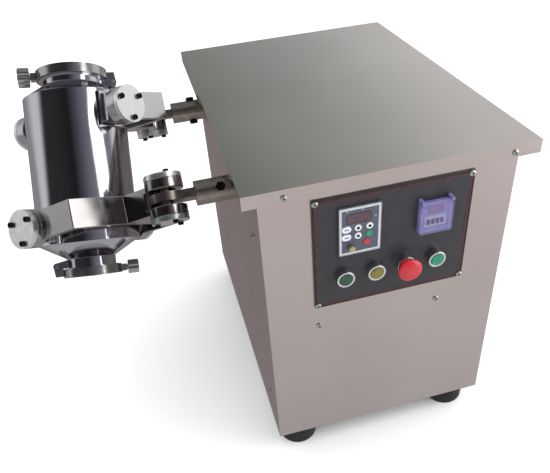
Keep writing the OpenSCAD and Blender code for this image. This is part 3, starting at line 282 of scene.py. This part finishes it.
# Rubber swallows light: it is nearly black and matt
foot_rubber = moulded("moulded_rubber_feet", "#101012", "#1c1c1f", 0.62, 1.4, 0.05)
belt_rubber = moulded("neoprene_belt", "#131313", "#202020", 0.7, 1.0, 0.04)
# Printed polyester film is smooth and half matt, and its inks lie flat on it
film_black = moulded("printed_polyester_film", "#2a2a2e", "#303035", 0.4, 0.6, 0.006)
film_red = moulded("printed_border_maroon", "#3a1b1e", "#48262a", 0.4, 0.6, 0.006)
film_ink = moulded("printed_white_ink", "#b9b9bb", "#c9c9cb", 0.5, 0.6, 0.004)
keypad_slate = moulded("polyester_keypad_slate", "#474b59", "#525766", 0.34)
# A smoked window is a glossy dark sheet that hides what isn't lit behind it
display_red = moulded("smoked_display_window", "#4a333c", "#584049", 0.16, 3.0, 0.002,
                      Coat_Weight=0.3)
timer_red = moulded("smoked_timer_window", "#5d2147", "#6a2a52", 0.2, 3.0, 0.002)
# Digit wheels are printed too. The dark of the screws' cross recesses is painted shade, as little
# light comes back out of a recess, and the same dark serves as ink for the key dots.
display_grey = moulded("printed_digit_wheels", "#a5a0a6", "#b7b2b8", 0.35, 0.6, 0.004)
recess_shade_and_dot_ink = moulded("painted_recess_shade_and_dot_ink", "#0c0c0d", "#151516", 0.6)
# ABS has a soft gloss, and takes any colour evenly
abs_white = moulded("abs_white", "#b4b6ba", "#c2c4c8", 0.34)
abs_grey = moulded("abs_dark_grey", "#303234", "#3b3d40", 0.42)
abs_black = moulded("abs_black", "#141415", "#1f1f21", 0.4)
timer_plastic = moulded("abs_violet", "#6a6699", "#7b77aa", 0.26)
# Paint on a casting follows its rough skin, and powder coat has a fine orange-peel of its own
iron_paint = moulded("green_paint_on_iron", "#2c4a38", "#375a45", 0.42, 2.4, 0.12)
drive_paint = moulded("grey_blue_paint", "#4b535f", "#58616e", 0.4, 2.0, 0.06)
frame_paint = moulded("grey_powder_coat", "#4a4d50", "#5a5d60", 0.5, 1.2, 0.06)
# Silicone and nylon are softer than ABS and shine less; light goes a little way into white silicone
silicone = moulded("white_silicone", "#d9d8d2", "#e9e8e2", 0.48, Subsurface_Weight=0.1)
nylon_black = moulded("black_nylon", "#151516", "#222224", 0.45)
key_white = moulded("silicone_keys_white", "#ced0d4", "#dcdee2", 0.4)
key_green = moulded("silicone_keys_green", "#1f7f5b", "#2b9069", 0.4)
key_red = moulded("silicone_keys_red", "#a62a33", "#bb3a42", 0.4)
# Button caps are glossy, and the lenses have a hard clear skin over a dark body
red_cap = moulded("polyamide_red", "#b01c28", "#bd2632", 0.3, Coat_Weight=0.3,
                  Coat_Roughness=0.15)
lens_green = moulded("lens_dark_green", "#0e3625", "#174b36", 0.2, Coat_Weight=0.5)
lens_olive = moulded("lens_olive", "#5e5c10", "#75731c", 0.2, Coat_Weight=0.5)
lens_teal = moulded("lens_teal", "#0c7557", "#128566", 0.2, Coat_Weight=0.5)
print("materials:", len(bpy.data.materials))


# %% [markdown]
# ## Clear plastic
# The timer sits behind a hinged cover of tinted polycarbonate. Refraction through a thin flat sheet
# hardly bends a line of sight, and costs many noisy samples. So the cover is made partly
# see-through with alpha instead, keeps the gloss of polycarbonate, and tints what lies behind it
# violet.

# %% Tinted clear cover
def clear_plastic(name, base, roughness, ior):
    cover, haze_mm = 0.26, 6.0
    made, tree, shader = start_material(name, base, 0.0, roughness, IOR=ior, Alpha=cover)
    vary(tree, shader, gloss=(pattern(tree, haze_mm), roughness * 0.7, roughness * 1.5))
    return made


clear_violet = clear_plastic("polycarbonate_violet", "#9490c4", 0.08, 1.58)

# %% [markdown]
# ## A bench copy
# A part from the frame has perfectly sharp edges, which no real part has: a fold has a radius, and
# a cut edge is broken with a file. The frame's own meshes stay as they are, so each part that shows
# is copied, its triangles are welded and its flat faces made whole, and its sharp edges are
# rounded. The copy then stands for the frame's node and rides on the same body.

# %% Helpers: round the edges, finish, and copy a node
WELD_MM = 0.004
FLAT_DEGREES = 0.5
SHARP_DEGREES = 32
SMOOTH_DEGREES = 38


def activate(piece):
    """Makes a piece the one object that is selected and active."""
    bpy.ops.object.select_all(action="DESELECT")
    piece.hide_set(False)
    piece.select_set(True)
    bpy.context.view_layer.objects.active = piece


def apply_all(piece):
    """Applies a piece's modifiers in their order."""
    activate(piece)
    for modifier in list(piece.modifiers):
        bpy.ops.object.modifier_apply(modifier=modifier.name)


def soften(piece, radius_mm):
    """Rounds a piece's sharp edges, then shades it smooth with its flat faces kept flat."""
    edge = piece.modifiers.new("soft_edges", "BEVEL")
    edge.width = radius_mm * MM
    edge.segments = 2
    edge.limit_method = "ANGLE"
    edge.angle_limit = math.radians(SHARP_DEGREES)
    apply_all(piece)
    bpy.ops.object.shade_smooth_by_angle(angle=math.radians(SMOOTH_DEGREES))
    weight = piece.modifiers.new("flat_faces", "WEIGHTED_NORMAL")
    weight.keep_sharp = True
    apply_all(piece)


def finish_piece(piece, material, node, replace=True):
    """Gives a piece its finish and lets it ride where the node rides."""
    piece.data.materials.clear()
    piece.data.materials.append(material)
    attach(piece, BODY_OF[node])
    if replace:
        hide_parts(node)
    return piece


def bench_copy(node, material, radius_mm):
    """A welded copy of a frame node with rounded edges, which stands for the node."""
    activate(NODES[node])
    bpy.ops.object.duplicate()
    piece = bpy.context.object
    piece.name = node + "_finished"
    piece.data.name = piece.name
    piece.parent = None
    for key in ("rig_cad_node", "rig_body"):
        del piece[key]
    activate(piece)
    bpy.ops.object.mode_set(mode="EDIT")
    bpy.ops.mesh.select_mode(type="FACE")
    bpy.ops.mesh.select_all(action="SELECT")
    bpy.ops.mesh.remove_doubles(threshold=WELD_MM * MM)
    bpy.ops.mesh.dissolve_limited(angle_limit=math.radians(FLAT_DEGREES))
    bpy.ops.object.mode_set(mode="OBJECT")
    soften(piece, radius_mm)
    return finish_piece(piece, material, node)


# %% [markdown]
# ## Round every part that shows
# The table below says what each part is made of and how far its edges are rounded, in millimetres:
# a millimetre or more for a fold or a buffed block, a few tenths for a cut sheet or a turned part.

# %% Copy the parts
FINISHES = {
    "top_plate": (top_steel, 1.8), "front_panel": (front_steel, 0.6),
    "left_panel": (shaded_side_steel, 0.3), "right_panel": (shaded_side_steel, 0.3),
    "back_panel": (shaded_side_steel, 0.3), "feet": (foot_rubber, 2.5),
    "cabinet_fasteners": (bolt_steel, 0.2), "control_plate": (film_black, 0.4),
    "keypad_bezel": (keypad_slate, 0.4), "timer_case": (timer_plastic, 0.8),
    "timer_flap": (clear_violet, 0.8), "button_collars": (chrome, 0.9),
    "power_lamp": (lens_teal, 0.6), "start_button": (lens_green, 0.6),
    "jog_button": (lens_olive, 0.6), "stop_button": (red_cap, 1.0),
    "speed_knob": (brass, 0.5), "drive_shaft": (shaft_steel, 0.8),
    "driven_shaft": (shaft_steel, 0.8), "drive_cross_bolt": (dark_bolt, 0.5),
    "driven_cross_bolt": (dark_bolt, 0.5), "front_pin": (shaft_steel, 0.5),
    "rear_stirrup": (stirrup_steel, 1.2), "front_stirrup": (shaded_front_stirrup_steel, 1.2),
    "rear_caps": (cap_steel, 0.8), "front_caps": (cap_steel, 0.8),
    "trunnions": (barrel_steel, 1.0), "barrel_shell": (barrel_steel, 1.5),
    "lid": (barrel_steel, 1.0), "top_clamp": (clamp_steel, 1.2),
    "top_knob": (clamp_steel, 4.0), "bottom_cover": (barrel_steel, 1.0),
    "bottom_clamp": (clamp_steel, 1.2), "bottom_knob": (clamp_steel, 3.0),
    "hinge_pins": (bolt_steel, 0.5), "cable_gland": (nylon_black, 0.8),
    "gearbox": (drive_paint, 2.0), "fan_cover": (drive_paint, 0.6),
    "pillow_blocks": (iron_paint, 2.0), "inverter": (abs_grey, 2.0),
    "contact_blocks": (abs_grey, 0.8),
}
for name in ("key_mode", "key_store", "key_up", "key_down", "key_shift"):
    FINISHES[name] = (key_white, 0.5)
FINISHES["key_run"] = (key_green, 0.5)
FINISHES["key_stop"] = (key_red, 0.5)
finished = {node: bench_copy(node, *finish) for node, finish in FINISHES.items()}
print("rounded parts:", len(finished))


# %% [markdown]
# The round caps are each held by three dark socket screws. Cap and screws are one piece here, so
# the screws are found by their place: they are what stands above a cap's large flat face.

# %% Dark screws on the caps
CAP_FLAT_MM2 = 260
CAP_REACH_MM = 34
HEAD_LOW_MM, HEAD_HIGH_MM = 0.15, 8


def darken_screws(piece, dark):
    """Gives a second finish to all that stands above a cap's flat face."""
    piece.data.materials.append(dark)
    flats = [(face.center.copy(), face.normal.copy()) for face in piece.data.polygons
             if face.area > CAP_FLAT_MM2 * MM ** 2]
    count = 0
    for face in piece.data.polygons:
        for centre, normal in flats:
            away = face.center - centre
            above_cap = HEAD_LOW_MM * MM < away.dot(normal) < HEAD_HIGH_MM * MM
            if above_cap and away.length < CAP_REACH_MM * MM:
                face.material_index = 1
                count += 1
                break
    print(piece.name, "flats", len(flats), "screw faces", count)


darken_screws(finished["rear_caps"], dark_bolt)
darken_screws(finished["front_caps"], dark_bolt)

# %% [markdown]
# The parts that are left, inside the cabinet and the housings, keep the frame's own meshes: nobody
# sees their edges, but each still gets its finish, because the panels come off for service.

# %% Finish the inner works
INNER = {
    "frame": frame_paint, "bearing_portals": frame_paint, "bearing_inserts": shaft_steel,
    "motor": drive_paint, "drive_belt": belt_rubber, "drive_pulley": pulley_steel,
    "gearbox_output": pulley_steel, "motor_fan": abs_black, "rear_pin": shaft_steel,
    "rear_bushes": bronze, "front_bushes": bronze, "neck_gaskets": silicone,
}
for node, material in INNER.items():
    NODES[node].data.materials.clear()
    NODES[node].data.materials.append(material)
print("inner parts:", len(INNER))

# %% [markdown]
# ## The printed film on the control plate
# The control plate carries a printed film: charcoal, with a maroon border line along its edge. The
# border is ink with a real edge, so it is a very thin frame that stands a quarter of a millimetre
# proud. A frame starts as a flat block. Its front and back faces are inset, and the two inner faces
# are bridged into a hole, which leaves a band round the edge. The same helper makes the keypad's
# white rim.

# %% Helpers: a thin block and a frame on the front
STRAIGHT = 0.99


def select_faces(piece, axis, sides):
    """Selects the faces that look along an axis (0, 1 or 2) to the given sides (-1 or 1)."""
    activate(piece)
    bpy.ops.object.mode_set(mode="EDIT")
    bpy.ops.mesh.select_mode(type="FACE")
    bpy.ops.mesh.select_all(action="DESELECT")
    shape = bmesh.from_edit_mesh(piece.data)
    for face in shape.faces:
        face.select = any(face.normal[axis] * side > STRAIGHT for side in sides)
    shape.select_flush(True)
    bmesh.update_edit_mesh(piece.data)


def settle(piece):
    """Ends edit mode and puts the piece's place into its mesh."""
    bpy.ops.object.mode_set(mode="OBJECT")
    activate(piece)
    bpy.ops.object.transform_apply(location=True, rotation=True, scale=True)


def block(name, centre, size):
    """A block from its middle and its three sizes, in mm."""
    bpy.ops.mesh.primitive_cube_add(size=1, location=[v * MM for v in centre])
    piece = bpy.context.object
    piece.name = piece.data.name = name
    piece.scale = [v * MM for v in size]
    settle(piece)
    return piece


def front_block(name, x, z, front, back):
    """A block on the cabinet's front, in mm: x and z are (low, high), front and back its depth."""
    spans = (x, (front, back), z)
    return block(name, [sum(span) / 2 for span in spans], [high - low for low, high in spans])


def round_corners(piece, radius_mm):
    """Rounds the four edges that run from front to back."""
    activate(piece)
    bpy.ops.object.mode_set(mode="EDIT")
    bpy.ops.mesh.select_mode(type="EDGE")
    bpy.ops.mesh.select_all(action="DESELECT")
    shape = bmesh.from_edit_mesh(piece.data)
    for edge in shape.edges:
        line = (edge.verts[0].co - edge.verts[1].co).normalized()
        edge.select = abs(line.y) > STRAIGHT
    shape.select_flush(True)
    bmesh.update_edit_mesh(piece.data)
    bpy.ops.mesh.bevel(offset=radius_mm * MM, segments=5, affect="EDGES")
    bpy.ops.object.mode_set(mode="OBJECT")


def front_frame(name, x, z, front, back, band, corner, soft):
    """A frame on the front: a block with rounded corners, hollowed from face to face."""
    piece = front_block(name, x, z, front, back)
    round_corners(piece, corner)
    select_faces(piece, 1, (-1, 1))
    bpy.ops.mesh.inset(thickness=band * MM, depth=0)
    bpy.ops.mesh.bridge_edge_loops()
    settle(piece)
    soften(piece, soft)
    return piece


# %% Border of the film, and the keypad's rim
PLATE_X, PLATE_Z, PLATE_FRONT = (-124.0, 131.0), (354.0, 557.0), -303.0
BORDER_IN = 2
border = front_frame("film_border", (PLATE_X[0] + BORDER_IN, PLATE_X[1] - BORDER_IN),
                     (PLATE_Z[0] + BORDER_IN, PLATE_Z[1] - BORDER_IN),
                     PLATE_FRONT - 0.25, PLATE_FRONT + 0.2, band=4.6, corner=1.2, soft=0.08)
finish_piece(border, film_red, "control_plate", replace=False)

PAD_X, PAD_Z, PAD_FRONT = (-84.5, -18.0), (452.5, 537.0), -307.0
rim = front_frame("keypad_rim", PAD_X, PAD_Z, PAD_FRONT - 0.6, PAD_FRONT + 1.5,
                  band=2.0, corner=2.4, soft=0.25)
finish_piece(rim, abs_white, "keypad_bezel", replace=False)
print("film border", [round(v / MM, 1) for v in border.dimensions])

# %% [markdown]
# ## The speed control's face
# Behind the keypad's film are a smoked display window and four small signal lamps. Five keys have a
# plain mark: a bar on each of the two wide ones, a dark dot in three round ones. The marks are
# separate thin discs and bars that ride with their keys, because a key moves when it is pressed.

# %% Display, lamps and key marks
def front_panel_piece(name, x, z, front, back, corner, soft, material, node):
    """A thin rounded plate on the front, finished and riding with a node."""
    piece = front_block(name, x, z, front, back)
    round_corners(piece, corner)
    soften(piece, soft)
    return finish_piece(piece, material, node, replace=False)


def front_disc(name, x, z, radius, front, back, material, node, corners=28):
    """A thin disc on the front with a raised middle, finished and riding with a node."""
    thick = back - front
    inset_share, rise_share, edge_mm = 0.3, 0.15, 0.12
    bpy.ops.mesh.primitive_cylinder_add(vertices=corners, radius=radius * MM, depth=thick * MM,
                                        location=(x * MM, (front + back) / 2 * MM, z * MM),
                                        rotation=(math.radians(90), 0, 0))
    piece = bpy.context.object
    piece.name = piece.data.name = name
    settle(piece)
    select_faces(piece, 1, (-1,))
    bpy.ops.mesh.inset(thickness=radius * inset_share * MM, depth=0)
    bpy.ops.transform.translate(value=(0, -thick * rise_share * MM, 0))
    settle(piece)
    soften(piece, edge_mm)
    return finish_piece(piece, material, node, replace=False)


KEY_FRONT = -308.0
DISPLAY_X, DISPLAY_Z = (-72, -34), (508.5, 525.5)
LAMP_RADIUS, DOT_RADIUS = 0.9, 2.5
LAMPS = [(-71.5, 530.5), (-47, 530.5), (-27, 515), (-70, 505)]
DOT_KEYS = {"key_up": (-54.4, 499.35), "key_down": (-54.4, 485.15), "key_shift": (-36.15, 499.35)}
BAR_KEYS = {"key_mode": 499.4, "key_store": 485.15}
BAR_X, BAR_HALF = (-76.0, -69.1), 0.7

front_panel_piece("display_window", DISPLAY_X, DISPLAY_Z, PAD_FRONT - 0.5, PAD_FRONT + 0.4,
                  1.2, 0.15, display_red, "keypad_bezel")
for index, (x, z) in enumerate(LAMPS):
    front_disc("signal_lamp_" + str(index), x, z, LAMP_RADIUS, PAD_FRONT - 0.5, PAD_FRONT + 0.3,
               film_ink, "keypad_bezel", corners=16)
for key, (x, z) in DOT_KEYS.items():
    front_disc(key + "_mark", x, z, DOT_RADIUS, KEY_FRONT - 0.5, KEY_FRONT, recess_shade_and_dot_ink, key)
for key, z in BAR_KEYS.items():
    front_panel_piece(key + "_mark", BAR_X, (z - BAR_HALF, z + BAR_HALF), KEY_FRONT - 0.45,
                      KEY_FRONT, 0.5, 0.08, abs_grey, key)
print("keypad face ready")

# %% [markdown]
# ## The timer's face
# Under the clear cover the timer has a smoked window for the elapsed time and, below it, four digit
# wheels that set the time. Plain numbers are what any such timer shows, so the wheels get a 0 each.

# %% Timer window and digit wheels
CASE_FRONT = -311.0
WINDOW_X, WINDOW_Z = (56, 81), (500, 515)
WHEELS_X, WHEELS_Z = (51, 86), (476, 495)
DIGITS, FIRST_DIGIT, DIGIT_STEP, DIGIT_WIDTH, DIGIT_Z = 4, 54.2, 7.4, 4.6, (481, 490)

front_panel_piece("timer_window", WINDOW_X, WINDOW_Z, CASE_FRONT - 0.3, CASE_FRONT + 3,
                  1.0, 0.2, timer_red, "timer_case")
front_panel_piece("timer_wheel_plate", WHEELS_X, WHEELS_Z, CASE_FRONT - 0.3, CASE_FRONT + 3,
                  1.0, 0.2, display_grey, "timer_case")
for index in range(DIGITS):
    left = FIRST_DIGIT + index * DIGIT_STEP
    wheel = front_frame("timer_digit_" + str(index), (left, left + DIGIT_WIDTH), DIGIT_Z,
                        CASE_FRONT - 0.42, CASE_FRONT - 0.2, band=1.0, corner=1.6, soft=0.03)
    finish_piece(wheel, abs_black, "timer_case", replace=False)
print("timer face ready")

# %% [markdown]
# ## Slots in the screws
# Each screw in the sheet has a cross recess. At this size it shows as a dark cross, so two thin
# bars, one turned by a quarter, are laid on each head. Their dark is painted shade in the recess.

# %% Cross recesses
BAR_REACH, BAR_WIDTH, BAR_THICK = 2.6, 0.9, 0.3
BAR_INSET = BAR_WIDTH * 0.2


def cross_recess(name, place, axis, sign):
    """Two thin crossed bars on a screw's head, which looks along an axis (0 for x, 1 for y)."""
    for bar in (0, 1):
        size = [2 * BAR_REACH] * 3
        size[axis] = BAR_THICK
        size[2 if bar else 1 - axis] = BAR_WIDTH
        piece = block(name + "_" + str(bar), place, size)
        select_faces(piece, axis, (sign,))
        bpy.ops.mesh.inset(thickness=BAR_INSET * MM, depth=0)
        settle(piece)
        # The bars' dark finish is painted shade in the recess.
        finish_piece(piece, recess_shade_and_dot_ink, "cabinet_fasteners", replace=False)


# Where the heads' faces stand: on the lip, the front and back panels, the plate, a side panel
LIP_HEAD, PANEL_HEAD, PLATE_HEAD, SIDE_HEAD = 305.0, 302.8, 305.8, 204.2
FRONT_SCREWS = ([(x, -LIP_HEAD, 572) for x in (-163, 193.5)]
                + [(x, -PANEL_HEAD, 312) for x in (-117.5, 90.5)]
                + [(x, -PLATE_HEAD, z) for x in (-119, 126) for z in (359, 552)])
SIDE_SCREWS = [(y, z) for y in (-245, 245) for z in (478, 117)]
BACK_SCREWS = [(x, PANEL_HEAD, z) for x in (-185, 185) for z in (524, 316, 78)]

for index, place in enumerate(FRONT_SCREWS):
    cross_recess("front_screw_" + str(index), place, 1, -1)
for index, (y, z) in enumerate(SIDE_SCREWS):
    cross_recess("left_screw_" + str(index), (-SIDE_HEAD, y, z), 0, -1)
    cross_recess("right_screw_" + str(index), (SIDE_HEAD, y, z), 0, 1)
for index, place in enumerate(BACK_SCREWS):
    cross_recess("back_screw_" + str(index), place, 1, 1)
print("screws:", len(FRONT_SCREWS) + 2 * len(SIDE_SCREWS) + len(BACK_SCREWS))

# %% [markdown]
# ## Floor and light
# A plain pale floor and soft light, as for a catalogue. Polished steel shows only what stands round
# it, so the surroundings are built by direction, like the flags and screens of a studio: grey-green
# overhead behind the machine, where the top sheet looks, dark behind the camera, where the barrel
# looks, and a pale grey low down, where the front looks. The floor itself is kept out of the
# reflections, as a photographer does with dark cloth, or all the steel would turn white.

# %% Floor
FLOOR_SIZE = 14.0
FLOOR_CLOUD_MM = 900.0
bpy.ops.mesh.primitive_plane_add(size=FLOOR_SIZE, location=(0, 0, 0))
floor = bpy.context.object
floor.name = "studio_floor"
floor_paint, floor_tree, floor_shader = start_material("pale_floor", "#fafaf9", 0.0, 0.7)
vary(floor_tree, floor_shader,
     tint=(pattern(floor_tree, FLOOR_CLOUD_MM, 2.0), [(0.3, "#f8f8f7"), (0.7, "#fcfcfb")]))
floor.data.materials.append(floor_paint)
floor.visible_glossy = False

# %% Surroundings
world = bpy.data.worlds.new("studio_surroundings")
world.use_nodes = True
bpy.context.scene.world = world
sky = world.node_tree
direction = add_node(sky, "ShaderNodeTexCoord").outputs["Generated"]
split = add_node(sky, "ShaderNodeSeparateXYZ", {0: direction})
right_share, back_share, up_share = split.outputs["X"], split.outputs["Y"], split.outputs["Z"]

# The colour sockets of the Mix node have the same names as its others, so they go by number
FIRST, SECOND, MIXED = 6, 7, 2


def sweep(value, low, high, stops, easing="SMOOTHSTEP"):
    """Runs through colour stops while a value goes from low to high."""
    share = add_node(sky, "ShaderNodeMapRange", {"Value": value, "From Min": low, "From Max": high},
                     interpolation_type=easing)
    band = add_node(sky, "ShaderNodeValToRGB", {"Fac": share.outputs["Result"]}, stops=stops)
    return band.outputs["Color"]


def change(value, low, high, first, second):
    """Goes from one colour to another while a value goes from low to high."""
    share = add_node(sky, "ShaderNodeMapRange", {"Value": value, "From Min": low, "From Max": high},
                     interpolation_type="SMOOTHSTEP")
    mixed = add_node(sky, "ShaderNodeMix",
                     {"Factor": share.outputs["Result"], FIRST: first, SECOND: second},
                     data_type="RGBA")
    return mixed.outputs[MIXED]


# The high part behind the machine, by how far right and how low a direction is. The top sheet sees
# its middle, from a dark grey-green on the left to a pale grey on the right, and the round caps see
# its two ends, which are nearly white.
UP_WEIGHT = -0.6
lean = add_node(sky, "ShaderNodeMath", {0: up_share, 1: UP_WEIGHT, 2: right_share},
                operation="MULTIPLY_ADD")
behind = sweep(lean.outputs[0], -1.2, 0.6, [
    (0.10, "#e6e8ea"), (0.17, "#c4c6c8"), (0.38, "#a6a9ab"), (0.54, "#68736f"), (0.57, "#75817d"),
    (0.61, "#a3abaa"), (0.69, "#a4aeae"), (0.76, "#d8e0e2"), (0.83, "#f6f8f8")], easing="LINEAR")
# The low part, seen in the front and the sides: a cool grey that the warm steel turns pinkish,
# darker behind the machine, where the left side looks, and a plain grey far to the left
low_front = sweep(up_share, -0.95, -0.25, [(0.1, "#bdbec0"), (0.3, "#d8d7da"), (0.63, "#e2dfe1")])
low_back = change(back_share, 0.2, 0.6, low_front, "#8d8385")
low_part = change(right_share, -0.35, -0.8, low_back, "#9fa0a4")
# The camera's side, seen in the barrel: nearly black on the left, purple-grey to the right
camera_side = sweep(right_share, -0.9, 0.75, [(0.0, "#343436"), (0.45, "#232325"),
                                              (0.7, "#5a5560"), (1.0, "#8b8a94")])
# The barrel looks only into a band square to its axis. On both sides of that band the camera's side
# is a plain mid grey, so that the top sheet isn't black when it is seen from behind.
BARREL_AXIS = (0.0905, 0.5868, 0.8047)
BESIDE = "#9a9b9e"
along_barrel = add_node(sky, "ShaderNodeVectorMath", {0: direction, 1: BARREL_AXIS},
                        operation="DOT_PRODUCT").outputs["Value"]
camera_side = change(along_barrel, 0.52, 0.40, BESIDE, camera_side)
camera_side = change(along_barrel, -0.14, -0.02, BESIDE, camera_side)
upper = change(back_share, 0.12, -0.12, behind, camera_side)
around = change(up_share, 0.02, -0.12, upper, low_part)
# What a picture shows behind the machine, beyond the floor, is a plain pale wall
ray = add_node(sky, "ShaderNodeLightPath")
seen = add_node(sky, "ShaderNodeMix",
                {"Factor": ray.outputs["Is Camera Ray"], FIRST: around, SECOND: "#fbfbfa"},
                data_type="RGBA")
air = sky.nodes["Background"]
sky.links.new(seen.outputs[MIXED], air.inputs["Color"])
air.inputs["Strength"].default_value = 1.0


# %% Lamps
def softbox(name, at, aim, size, power, in_steel=True):
    """A rectangular area light at a place, turned towards a point."""
    bpy.ops.object.light_add(type="AREA", location=at)
    lamp = bpy.context.object
    lamp.name = name
    lamp.data.shape = "RECTANGLE"
    lamp.data.size, lamp.data.size_y = size
    lamp.data.energy = power
    lamp.rotation_euler = (Vector(aim) - Vector(at)).to_track_quat("-Z", "Y").to_euler()
    lamp.visible_glossy = in_steel


# The ceiling screen lights the whole and the floor, and the left fill opens the barrel's shadows.
# The stripe screen makes the white stripe on the right of the barrel.
BARREL = Vector((-0.45, -0.01, 0.52))
STRIPE_SIDE, STRIPE_AWAY = Vector((0.84, -0.49, 0.24)), 1.7
softbox("ceiling_screen", (0.0, 0.5, 5.0), (0, 0.5, 0), (13.0, 13.0), 800, in_steel=False)
softbox("stripe_screen", BARREL + STRIPE_AWAY * STRIPE_SIDE, BARREL, (0.72, 1.7), 10)
softbox("left_fill", (-1.7, -1.6, 1.1), BARREL, (1.2, 0.9), 9, in_steel=False)

# %% Colour transform
bpy.context.scene.view_settings.view_transform = "Standard"
